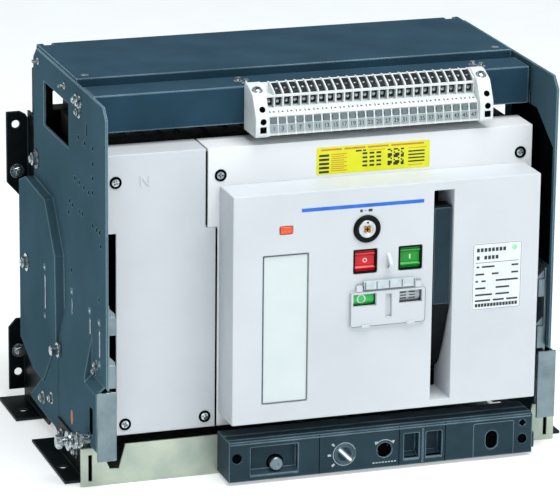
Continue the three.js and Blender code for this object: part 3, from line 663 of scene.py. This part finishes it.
STRIP = (0, 3.2, 16)  # rise of the strip's face
LEDGE = (0, 11.2, 6.4)  # rise of the ledge between the strip and the clamps
numbers = []
tickets = []
upper_tickets = []
ticks = []
for k in range(CLAMPS):
    x = BLOCK_LEFT + (k + 0.5) * PITCH
    upper_tickets += placed([drawn(box(-4.7, 4.7, -3.6, 3.4, 0.3), "z", -0.3, 0.22)],
                            (x, -4.5, 395.9), (1, 0, 0), STRIP)
    for aside, outline in ((2, box(-1.1, 1.1, -0.8, 0.8)), (0, box(-2.8, -1.8, -1.6, 1.6))):
        ticks += placed([drawn(outline, "z", -0.3, 0.2)], (x + aside, 1.0, 404.25), (1, 0, 0), LEDGE)
    tickets += placed([drawn(box(-4.5, 4.5, -4.4, 4.4, 0.5), "z", -0.3, 0.35)],
                      (x, -6.6, 387.2), (1, 0, 0), STRIP)
    numbers += lettering(str(2 * k + 1), 6.6, (x, -6.7, 387.2), (1, 0, 0), STRIP, 0.48)
    if k:
        numbers += lettering(str(2 * k), 5.4, (x - PITCH / 2, -4.5, 395.9), (1, 0, 0), STRIP, 0.3)
# Marking tickets: greyer and flatter than the housing. The upper row is a tone darker: painted shade
# of the recess it sits in.
ticket_light = finish("light_ticket_grey", ("#8d999c", "#9ba6a9"), 12, 0.6, 0.01, (0.5, 0.65),
                      Specular_IOR_Level=0.2)
ticket_in_painted_shade = finish("ticket_grey_painted_shade", ("#5f6c70", "#6e7b7f"), 12, 0.6, 0.01, (0.5, 0.65),
                     Specular_IOR_Level=0.2)
piece("terminal_upper_tickets", upper_tickets, ticket_in_painted_shade, "cradle")
piece("terminal_ticks", ticks, black_ink, "cradle")
piece("terminal_tickets", tickets, ticket_light, "cradle")
piece("terminal_numbers", numbers, black_ink, "cradle")

# ---------------------------------------------------------------- racking bezel
# A dark moulded box on the tray's front plate, with the crank socket, the position dial, the release
# plunger and finger recesses. Marks are printed white; the ridge along its top locates it in the tray.

# Dark grey polycarbonate blend: a satin spark-eroded texture, with edges painted paler as wear and as a
# painted highlight.
dark_moulding = finish("dark_grey_moulding", ("#21343d", "#273c46"), 35, 0.6, 0.03, (0.42, 0.6),
                       edge_wear_and_highlight="#7f97a3", Specular_IOR_Level=0.1)
# White marking ink: thin, slightly chalky.
white_ink = finish("white_print_ink", ("#e4e8ea", "#f2f4f5"), 6, 0.7, 0.01, (0.5, 0.65))
# The same ink printed thin, so that the dark moulding greys it.
grey_ink = finish("thin_white_print_ink", ("#98a5ab", "#b2bdc2"), 4, 0.7, 0.01, (0.5, 0.65))
softened("racking_bezel", dark_moulding, 0.8)
FRONT = -50.0
bezel_lines = [drawn(box(-121.5, 232.5, -44, -42.4), "z", 49.5, 50.9),
               drawn(box(-121.5, 232.5, -30, -28), "z", 49.5, 51.2),
               drawn(box(-120.5, 231.5, 46.2, 47.6), "y", FRONT - 0.35, FRONT + 0.5),
               drawn(box(101.4, 103.6, 5.5, 45), "y", FRONT - 0.8, FRONT + 1)]
bezel_lines += [frame_round(163, 210, 4.5, 43, 0.7, "y", FRONT - 0.5, FRONT + 0.5)]
for left, right, bottom, depth in ((-97, -43, 9, 8), (81, 98, 10, 12), (107, 125, 10, 12)):
    ramp = [(FRONT + 0.3, bottom), (FRONT + depth, bottom), (FRONT + depth, bottom + 6)]
    bezel_lines.append(drawn(ramp, "x", left, right))
piece("bezel_ridges", bezel_lines, dark_moulding, "cradle", 0.3)
# Flat black: thin lines along the bezel's joints, and painted shade in its holes and gaps: the plate behind
# the oval hole, the screw holes, the cross-shaped hole and the ring round the plunger.
bezel_shadows = [drawn(box(x, x + 0.8, 4, 49.4), "y", FRONT - 0.12, FRONT + 0.5)
                 for x in (-18.6, 74.5, 128.8)]
bezel_shadows.append(drawn(box(175.5, 193.5, 10, 36), "y", FRONT + 3.6, FRONT + 4.4))
bezel_shadows += [turned([(5.6, -0.5), (5.6, 0.14), (0, 0.14)], (-113, FRONT, 31), "y", -1, 28),
                  turned([(4.9, -2), (4.9, -1.4), (0, -1.4)], (221, FRONT, 21), "y", -1, 24),
                  turned([(5.6, -0.5), (5.6, 0.14), (4.9, 0.14), (4.9, -0.5), (5.6, -0.5)],
                         (221, FRONT, 21), "y", -1, 24),
                  turned([(9.9, -8.6), (9.9, -7.7), (7.9, -7.7), (7.9, -8.6), (9.9, -8.6)],
                         (-67, FRONT, 20), "y", -1, 32)]
bezel_shadows += [drawn(box(217, 225, 38.3, 40.7), "y", FRONT - 0.14, FRONT + 0.5),
                  drawn(box(219.8, 222.2, 35.5, 43.5), "y", FRONT - 0.14, FRONT + 0.5)]
piece("bezel_joint_and_hole_shade", bezel_shadows, shadow_black, "cradle")


def arc_band(centre, inner, outer, first, last, steps=14):
    """Outline of a flat arc between two radii and two angles in degrees."""
    angles = np.radians(np.linspace(first, last, steps))
    ray = np.stack([np.cos(angles), np.sin(angles)], -1)
    return np.concatenate([ray * outer, ray[::-1] * inner]) + centre


def printed(outlines, plane, thick=0.12):
    """Printed marks: each outline drawn out through the plane y by a thin film."""
    return [drawn(outline, "y", plane - thick, plane + 0.3) for outline in outlines]


SCREW_X, DIAL_X, DRIVE_Z = 57.8, 11, 24
bezel_marks = [arc_band((SCREW_X, DRIVE_Z), 11.6, 12.4, 40, 140),
               arc_band((DIAL_X, DRIVE_Z), 12.9, 13.6, 20, 340)]
bezel_marks += [np.array([(65.6, 34.6), (69.6, 34.4), (68.2, 30.4)]),
                np.array([(46.0, 34.4), (50.0, 34.6), (47.4, 30.4)])]
bezel_marks += [arc_band((DIAL_X, DRIVE_Z), 15.6, 19.4, angle - 4, angle + 4, 3) for angle in (138, 180, 222)]
bezel_marks += [box(44 + 3.6 * k, 46.4 + 3.6 * k, 9.2, 10.6) for k in range(8)]
piece("bezel_marks", printed(bezel_marks, FRONT), grey_ink, "cradle")

# Position dial: a turned knob with a shallow dish, a raised pointer bar and a white line along it.
knob = [(0, -43), (4, -43), (4, -9), (12, -8), (12, 0.2), (11.2, 1.0), (9.4, 1.0), (8.6, 0.3), (0, 0.3)]
half = math.sqrt(0.5)
lean = np.array([[half, -half], [half, half]])
bar = box(-10.3, 10.3, -2.1, 2.1, 1.6) @ lean + [DIAL_X, DRIVE_Z]
dial_parts = [turned(knob, (DIAL_X, FRONT, DRIVE_Z), "y", -1, 48),
              drawn(bar, "y", FRONT - 2.4, FRONT + 0.5)]
piece("position_dial_knob", dial_parts, dark_moulding, "position_dial", 0.4,
      stands_for=["position_dial"])
line = box(-10.2, 10.2, -1.5, 1.5, 1.2) @ lean + [DIAL_X, DRIVE_Z]
piece("position_dial_line", [drawn(line, "y", FRONT - 3.0, FRONT - 2.5)], white_ink, "position_dial")
plunger = [(0, -30.5), (7.4, -30.5), (7.4, 0.0), (6.6, 0.8), (2.6, 1.0), (2.2, 0.4), (0, 0.4)]
socket = [(7.2, 0), (7.2, 1.2), (6, 1.5), (3.2, 0.9), (0, 0.9)]
# Painted shade: a flat black cap on the screw's front stands for the dark of its deep hex socket.
piece("racking_screw_socket_shade", [turned(socket, (SCREW_X, -44.0, DRIVE_Z), "y", -1, 6)], shadow_black,
      "racking_screw")
piece("release_plunger_turned", [turned(plunger, (-67, FRONT + 2, 20), "y", -1, 40)], bright_zinc,
      "release_plunger", stands_for=["release_plunger"])
softened("racking_screw", bright_zinc, 0.4)
softened("racking_shaft", black_coat, 0.5)

# ---------------------------------------------------------------- guide rails and side brackets
# Zinc plated folded steel. The rails slide out of the cradle with the breaker on them; a cap closes
# each rail's front end, and the brackets stand beside the breaker with two guide lugs each.
for side in ("left", "right"):
    softened("guide_rail_" + side, bright_zinc, 0.9)
    softened("side_bracket_" + side, bright_zinc, 0.7)

# ---------------------------------------------------------------- pole housing and main circuits
# The housing is moulded in the same compound as the rear board, open at the top over each pole, where
# an arc chute stands. Thin steel splitter plates show in the slots of the chutes.
for node in ("pole_housing", "main_shaft"):
    softened(node, moulding_compound, 0.8)
# Dark grey fibre-board of the arc chutes: dull and slightly fibrous.
chute_board = finish("grey_arc_chute_board", ("#171817", "#262827"), 8, 1.1, 0.04, (0.6, 0.8))
for number in (1, 2, 3, 4):
    softened(f"arc_chute_{number}", chute_board, 0.7)
    softened(f"upper_contact_{number}", tinned_copper, 0.6)
    softened(f"lower_contact_{number}", tinned_copper, 0.6)
splitters = [drawn(box(x + dx - 4.7, x + dx + 4.7, y, y + 1.2), "z", 350.5, 365)
             for x in POLES for dx in (-30, -10, 10, 30) for y in range(86, 190, 9)]
piece("arc_splitter_plates", splitters, bright_zinc, "breaker")
softened("mechanism_frame", powder_coat, 0.6)

# ---------------------------------------------------------------- pole covers
# Two off-white mouldings side by side, the narrow one over the neutral pole. Cross-head screws sit at the
# corners in black rings of painted shade, and the neutral's letter stands a fraction proud.

# Off-white polycarbonate blend: even and satin, with a very fine eroded grain and faint warm-cool drift.
off_white = finish("off_white_moulding", ("#c5cacf", "#cfd3d8"), 120, 0.5, 0.012, (0.36, 0.5),
                   Subsurface_Weight=0.03, Subsurface_Radius=(0.003, 0.003, 0.003), Specular_IOR_Level=0.35)
# The same blend in a whiter tone for the wide cover: painted light, as the wide cover stands in
# brighter light than the narrow one.
off_white_lit_brighter = finish("off_white_moulding_lit_brighter", ("#e4e6e9", "#edeef1"), 120, 0.5, 0.012, (0.36, 0.5),
                    Specular_IOR_Level=0.35)
softened("neutral_cover", off_white, 1.0)
softened("main_cover", off_white_lit_brighter, 1.0)
# Painted shade in flat black: two strips in the joint between the covers, and a sheet on the neutral cover's
# outer face, which lies in shade.
joint = [drawn([(-134.4, 284), (-133, 284), (-133, 366), (-134.4, 366)], "y", -0.14, 0.4),
         drawn([(-122.9, 46), (-121.3, 46), (-121.3, 279), (-122.9, 279)], "y", -0.14, 0.4),
         drawn(box(1.5, 44, 54, 281), "x", -235.5, -234.9)]
piece("cover_joint_shade", joint, shadow_black, "breaker")
recess_shade_ring = [(4.9, 0.4), (4.9, 0.9), (5.6, 1.2), (6.6, 0.9), (6.8, 0.0), (6.8, -1.0), (4.9, -1.0), (4.9, 0.4)]
head = [(0, -0.8), (4.8, -0.8), (4.8, -0.1), (4.2, 0.5), (2.4, 0.85), (0, 0.95)]
recess_shade_rings = []
heads = []
recesses = []
for x, z in ((-235, 339), (-225, 65.4), (-134.6, 65.7), (-117.7, 338.3), (229, 338.3), (225, 61.5)):
    recess_shade_rings.append(turned(recess_shade_ring, (x, 0, z), "y", -1, 32))
    heads.append(turned(head, (x, 0, z), "y", -1, 24))
    recesses += cross_bars((x, 0, z), "y", -1, 4.2, 0.85, 25 + x)
# The flat black rings round the heads, and the crosses on them, are painted shade of the screw recesses.
piece("cover_screw_sleeves", recess_shade_rings, shadow_black, "breaker")
piece("cover_screw_heads", heads, screw_zinc, "breaker")
piece("cover_screw_recesses", recesses, shadow_black, "breaker")
leg = [drawn(box(x, x + 2.2, 333.4, 344.4, 0.5), "y", -0.8, 0.3) for x in (-207.9, -199)]
stroke = [(-207.7, 344.4), (-205.4, 344.4), (-197, 333.4), (-199.3, 333.4)]
neutral_letter = leg + [drawn(stroke, "y", -0.75, 0.3)]
piece("neutral_letter", neutral_letter, off_white, "breaker", 0.2)

# Setting label on the main cover: yellow vinyl with generic bars and a plain chequer, no wording.
yellow_vinyl = finish("yellow_vinyl_label", ("#dede00", "#e9ea12"), 18, 0.6, 0.01, (0.3, 0.42), IOR=1.5)
# Orange-brown print on the yellow label.
amber_ink = finish("amber_print_ink", ("#c8821a", "#d8942a"), 5, 0.7, 0.01, (0.45, 0.6))
LABEL = (-9, 122, 330, 360.5)
piece("setting_label", [drawn(box(*LABEL, 1.2), "y", -0.22, 0.3)], yellow_vinyl, "breaker")
title = [box(x, x + 24, 356.6, 358.6) for x in (-4, 23, 50)] + [box(77, 115, 356.6, 358.6)]
piece("setting_label_title", printed(title, -0.22, 0.06), amber_ink, "breaker")
rows = [box(-6, 5.5, z, z + 2.6) for z in (350, 345.4, 340.8, 336.2, 331.6)]
rows += [box(36, 43, 353.2, 355), box(44.5, 48, 353.2, 355)]
rows += [box(44 + 8 * i, 49.5 + 8 * i, 349.6 - 4.6 * j, 351.8 - 4.6 * j) for j in range(4) for i in range(3)]
squares = [box(73 + 1.7 * i, 74.8 + 1.7 * i, 335 + 1.7 * j, 336.8 + 1.7 * j)
           for i in range(11) for j in range(11) if (7 * i * i + 5 * j * j * j + 3 * i * j + j) % 5 < 3]
rows += squares + [box(97, 116, z, z + 1.6) for z in (348.4, 344.6, 340.8, 337)]
piece("setting_label_print", printed(rows, -0.22, 0.06), black_ink, "breaker")
fine = [box(8, 26 - 3 * (k % 2), 351.6 - 2.3 * k, 352.5 - 2.3 * k) for k in range(9)]
fine += [box(52, 70, 353.5, 354.3), box(97, 118, 352.6, 353.4), box(97, 114, 333.4, 334.2)]
piece("setting_label_fine_print", printed(fine, -0.22, 0.05), amber_ink, "breaker")

# ---------------------------------------------------------------- control facade
# The operator's panel: one deep off-white moulding screwed to the main cover. A blue line is printed
# along the top, and a clear window with a thin gasket shows the trip unit.
softened("facade", off_white, 1.2)
# Blue print line: saturated ink with a light gloss.
blue_ink = finish("blue_print_ink", ("#0c5cc0", "#186cd2"), 12, 0.7, 0.01, (0.35, 0.5))
piece("facade_blue_line", printed([box(-42, 98, 304.6, 308.6)], FRONT), blue_ink, "breaker")
# Grey rubber gasket of the trip unit's window.
grey_gasket = finish("grey_rubber_gasket", ("#59646b", "#68737a"), 10, 0.6, 0.03, (0.6, 0.75))
gasket = frame_round(-83.9, -34.6, 92.1, 257.4, 0.95, "y", FRONT - 0.15, FRONT + 2.5, 1.0)
piece("trip_window_gasket", [gasket], grey_gasket, "breaker")
# Trip unit's face: glossy polycarbonate sheet, faintly green-white.
face_sheet = finish("glossy_face_sheet", ("#c9d3d4", "#d0d9da"), 60, 0.8, 0.004, (0.16, 0.24), IOR=1.58)
softened("trip_unit", face_sheet, 0.6)

# Rating plate: silver-white foil, with bars in place of its wording and one small green dot.
plate_foil = finish("rating_plate_foil", ("#d9dde3", "#e3e7ec"), 24, 0.6, 0.008, (0.3, 0.45), Metallic=0.1)
PLATE = (156, 214, 176, 252.5)
piece("rating_plate", [drawn(box(*PLATE, 1.0), "y", FRONT - 0.2, FRONT + 0.3)], plate_foil, "breaker")
outline = frame_round(157.2, 212.8, 177.2, 251.3, 0.5, "y", FRONT - 0.27, FRONT - 0.1, 0.6)
piece("rating_plate_border", [outline], grey_gasket, "breaker")
bars = [box(161 + 4.4 * k, 164.2 + 4.4 * k, 242.6, 246.8) for k in range(8)]
bars += [box(161 + 4.4 * k, 164.2 + 4.4 * k, 233.8, 238) for k in (0, 2, 3, 4, 5)]
bars += [box(159.5, 210.5, 230, 230.5)]
for z, spans in ((224.4, ((161, 164), (167, 182), (202, 210))), (216, ((160, 170), (179, 187), (202, 210))),
                 (208, ((160, 163), (167, 172), (184, 210))), (200, ((160, 172), (184, 200))),
                 (192.4, ((160, 180), (184, 200))), (185.8, ((160, 178), (181, 194), (197, 210)))):
    bars += [box(a, b, z, z + 2.0) for a, b in spans]
bars += [box(160 + 3.6 * k, 162.9 + 3.6 * k, 179.6, 183.4) for k in range(14)]
piece("rating_plate_print", printed(bars, FRONT - 0.2, 0.07), black_ink, "breaker")
# Pale green print dot.
green_ink = finish("pale_green_print_ink", ("#8ed9a0", "#a6e4b4"), 5, 0.7, 0.01, (0.45, 0.6))
dot = [turned([(3.1, -0.2), (3.1, 0.28), (0, 0.28)], (205, FRONT, 245.5), "y", -1, 24)]
piece("rating_plate_dot", dot, green_ink, "breaker")

# ---------------------------------------------------------------- key lock
# A black ring nut holds a nickel plated cylinder; the key way is a cross of painted shade between brass
# bosses, and a small stamped index dot at its top is painted shade too. Two short index marks are printed
# above the ring.
# Black polyamide: satin, with soft highlights along its rims.
satin_black = finish("satin_black_moulding", ("#0a0e10", "#101517"), 8, 0.5, 0.02, (0.3, 0.45),
                     Specular_IOR_Level=0.07)
# Satin nickel plate: smooth and pale, with a mild blur in its reflections.
nickel = finish("satin_nickel_plate", ("#b6bec2", "#d0d6d9"), 6, 0.5, 0.01, (0.22, 0.36), Metallic=0.85)
# Worn brass: warm yellow, darker where grease gathers.
brass = finish("brass_with_wear", ("#946226", "#bd8640"), 2, 0.5, 0.02, (0.25, 0.45), Metallic=0.9)
KEY = (32.5, FRONT, 280.3)
ring = [(10.5, -20), (12, -20), (12, -0.6), (15.5, -0.5), (15.5, 1.2), (14.6, 2.4), (13.0, 3.0), (11.4, 2.6),
        (10.5, 1.6), (10.5, -20)]
piece("lock_ring_turned", [turned(ring, KEY, "y", -1, 64)], satin_black, "breaker",
      stands_for=["lock_ring"])
barrel = [(0, -24), (9.6, -24), (10, -23.6), (10, 1.5), (9.4, 2.1), (6.2, 2.1), (5.9, 1.7), (5.2, 1.7),
          (0, 1.7)]
piece("key_barrel_turned", [turned(barrel, KEY, "y", -1, 48)], nickel, "key_barrel",
      stands_for=["key_barrel"])
ways = [turned([(2.1, 1.4), (2.1, 2.15), (0, 2.3)], (KEY[0] + dx, FRONT, KEY[2] + dz), "y", -1, 16)
        for dx, dz in ((2, 2), (-2, 2), (-2, -2), (2, -2))]
piece("key_way_boss", ways, brass, "key_barrel")
slots = cross_bars(KEY, "y", -1, 4.6, 2.3, 0)
slots.append(turned([(1.2, 1.2), (1.2, 2.2), (0, 2.2)], (KEY[0] + 0.4, FRONT, KEY[2] + 7.4), "y", -1, 16))
piece("key_way_slots", slots, shadow_black, "key_barrel")
index_marks = [box(24.4, 27.4, 299.4, 302.4), box(29.6, 31.8, 300.6, 301.2), box(34, 38.6, 299.4, 302.4, 0.6)]
piece("lock_index_marks", printed(index_marks, FRONT), black_ink, "breaker")

# ---------------------------------------------------------------- push buttons
# Glossy caps with a ridge above and below a dished middle, in black frames painted as the shade of the
# openings' walls; O and I are printed white.
# The small reset button is a plain domed bar.
# Glossy red moulding: saturated, with clear highlights along the ridges.
gloss_red = finish("glossy_red_moulding", ("#c00012", "#cc0618"), 12, 0.8, 0.008, (0.14, 0.24),
                   Specular_IOR_Level=0.4)
# The same moulding in green.
gloss_green = finish("glossy_green_moulding", ("#00841a", "#009422"), 12, 0.8, 0.008, (0.14, 0.24),
                     Specular_IOR_Level=0.4)
# The same in orange, a little less glossy.
gloss_orange = finish("glossy_orange_moulding", ("#e2481c", "#f05a2c"), 6, 0.8, 0.008, (0.2, 0.32), IOR=1.55)


def ridged_cap(x0, x1, z0, z1, front):
    """A cap whose front waves along z: two cosine ridges near the ends and a shallow dish between."""
    t = np.linspace(0, 1, 41)
    ridge = np.exp(-(((t - 0.16) / 0.07) ** 2)) + np.exp(-(((t - 0.84) / 0.07) ** 2))
    depth = 1.9 - 1.7 * ridge + 0.8 * np.sin(np.pi * t) * (1 - ridge)
    face = np.stack([front + depth, z0 + (z1 - z0) * t], -1)
    return drawn(np.concatenate([face, [(front + 8, z1), (front + 8, z0)]]), "x", x0, x1)


OPENINGS = {"off_button": (18, 45, 230, 257), "on_button": (70, 97, 230, 257)}
frames = [frame_round(x0 + 1.7, x1 - 1.7, z0 + 1.7, z1 - 1.7, 1.6, "y", FRONT - 0.2, FRONT + 6, 0.8)
          for x0, x1, z0, z1 in OPENINGS.values()]
piece("button_opening_shade_frames", frames, satin_black, "breaker", 0.3)
for node, colour, slot in (("off_button", gloss_red, "red_moulding"),
                           ("on_button", gloss_green, "green_moulding")):
    x0, x1, z0, z1 = OPENINGS[node]
    middle = ((x0 + x1) / 2, FRONT + 8, (z0 + z1) / 2)
    cap_parts = [ridged_cap(x0 + 2.0, x1 - 2.0, z0 + 2.0, z1 - 2.0, FRONT + 0.5),
                 turned([(0, -30), (5, -30), (5, 0.5), (0, 0.5)], middle, "y", -1, 20)]
    piece(node + "_cap", cap_parts, colour, node, 0.3, stands_for=[node])
ring_mark = turned([(1.7, -0.3), (2.4, -0.3), (2.4, 0.12), (1.7, 0.12), (1.7, -0.3)],
                   (31.8, FRONT + 3.15, 244), "y", -1, 24)
piece("off_button_mark", [ring_mark], white_ink, "off_button")
piece("on_button_mark", [drawn(box(83, 84.3, 241.4, 246.6), "y", FRONT + 2.9, FRONT + 3.6)], white_ink,
      "on_button")
reset_face = np.linspace(0, 1, 13)
dome = np.stack([FRONT + 0.9 - 1.4 * np.sin(np.pi * reset_face) ** 0.5, 281.6 + 8.1 * reset_face], -1)
reset_parts = [drawn(np.concatenate([dome, [(FRONT + 6, 289.7), (FRONT + 6, 281.6)]]), "x", -65.9, -52.3),
               turned([(0, -33), (2.5, -33), (2.5, 0.5), (0, 0.5)], (-59.1, FRONT + 5, 285.65), "y", -1, 16)]
piece("reset_button_cap", reset_parts, gloss_orange, "reset_button", 0.3,
      stands_for=["reset_button"])

# ---------------------------------------------------------------- padlock flap and indicators
# A windowed flap hangs on a steel pin in a clear hinge bracket, over the two indicator drums. The green
# drum shows a white ring, the pale one a coil-spring mark.
softened("lock_flap", off_white, 0.5)
# Translucent grey polycarbonate: pale and smooth.
clear_grey = finish("translucent_grey_moulding", ("#b4bfc4", "#c4ced2"), 8, 0.6, 0.01, (0.25, 0.4), IOR=1.55)
softened("flap_bracket", clear_grey, 0.5)
bracket_ribs = [drawn(box(x, x + 1.2, 212.9, 221.1), "y", FRONT - 5.15, FRONT - 4)
                for x in (29.8, 43, 57.4, 72, 86)]
piece("flap_bracket_ribs", bracket_ribs, grey_gasket, "breaker")
# Painted shadow: a thin grey line along the flap's edge, where it stands off the facade.
flap_edge = frame_round(14.8, 100.2, 170.8, 209.6, 0.6, "y", FRONT - 3.1, FRONT - 2.6, 2.5)
piece("flap_edge_line", [flap_edge], grey_gasket, "lock_flap")
tabs = [drawn(box(a, b, 169.2, 172.4, 0.8), "y", FRONT - 4.4, FRONT - 1) for a, b in ((27, 36), (79, 88))]
slot_rim = frame_round(54.9, 61.6, 179.4, 205.1, 0.5, "y", FRONT - 3.2, FRONT - 1, 0.8)
piece("flap_tabs", tabs + [slot_rim], off_white, "lock_flap", 0.2)
# Bright green film on the drum.
lime = finish("bright_green_indicator", ("#3ccf62", "#4cdc70"), 6, 0.6, 0.01, (0.3, 0.42), IOR=1.5)
DRUM_Y, DRUM_Z, DRUM_R = -36.5, 200.0, 10.2


def on_drum(outline):
    """A mark wrapped on a drum: its depth follows the circle through each point's height."""
    points, faces = drawn(outline, "y", 1, 0)
    height = np.clip(points[:, 2] - DRUM_Z, -9, 9)
    radius = DRUM_R - 0.3 + 0.42 * points[:, 1]
    points[:, 1] = DRUM_Y - np.sqrt(radius ** 2 - height ** 2)
    return points, faces


for node, colour, slot, x0, x1 in (("contact_indicator", lime, "lime_moulding", 18, 43.5),
                                   ("charge_indicator", off_white, "cover_moulding", 71, 96.5)):
    wide = x1 - x0
    profile = [(0, 0), (DRUM_R - 0.5, 0), (DRUM_R, 0.5), (DRUM_R, wide - 0.5), (DRUM_R - 0.5, wide),
               (0, wide)]
    piece(node + "_drum", [turned(profile, (x0, DRUM_Y, DRUM_Z), "x", 1, 56)], colour, node,
          stands_for=[node])
ring_outline = [on_drum(arc_band((28.6, DRUM_Z), 3.7, 5.1, a, a + 30, 5)) for a in range(0, 360, 30)]
piece("contact_indicator_ring", ring_outline, white_ink, "contact_indicator")
bars_left = [73.6 + 2.6 * k + 2.4 * (k // 3) for k in range(6)]
coils = [on_drum(box(left, left + 1.7, 196, 204)) for left in bars_left]
coils += [on_drum(box(left, left + 7, z, z + 1.1)) for left in (73.6, 83.8) for z in (196.4, 199.6, 202.8)]
piece("charge_indicator_mark", coils, black_ink, "charge_indicator")

# ---------------------------------------------------------------- charging handle
# A long dark lever in its well, straight above and curling back round its pivot below, with a moulded
# step near the top where the hand pulls it out.
# Slate grey polyamide on the grip: satin, a tone lighter than the lever, with edges painted lighter as wear
# and as a painted highlight.
slate = finish("slate_moulding", ("#1a2c35", "#22363f"), 40, 0.6, 0.02, (0.35, 0.5), Specular_IOR_Level=0.12,
               edge_wear_and_highlight="#5f7681")
softened("charging_handle", satin_black, 1.6)
grip = [drawn(box(111.8, 131.4, 186, 296, 2.0), "y", -46.8, -43)]
piece("charging_handle_pad", grip, slate, "charging_handle", 0.4)
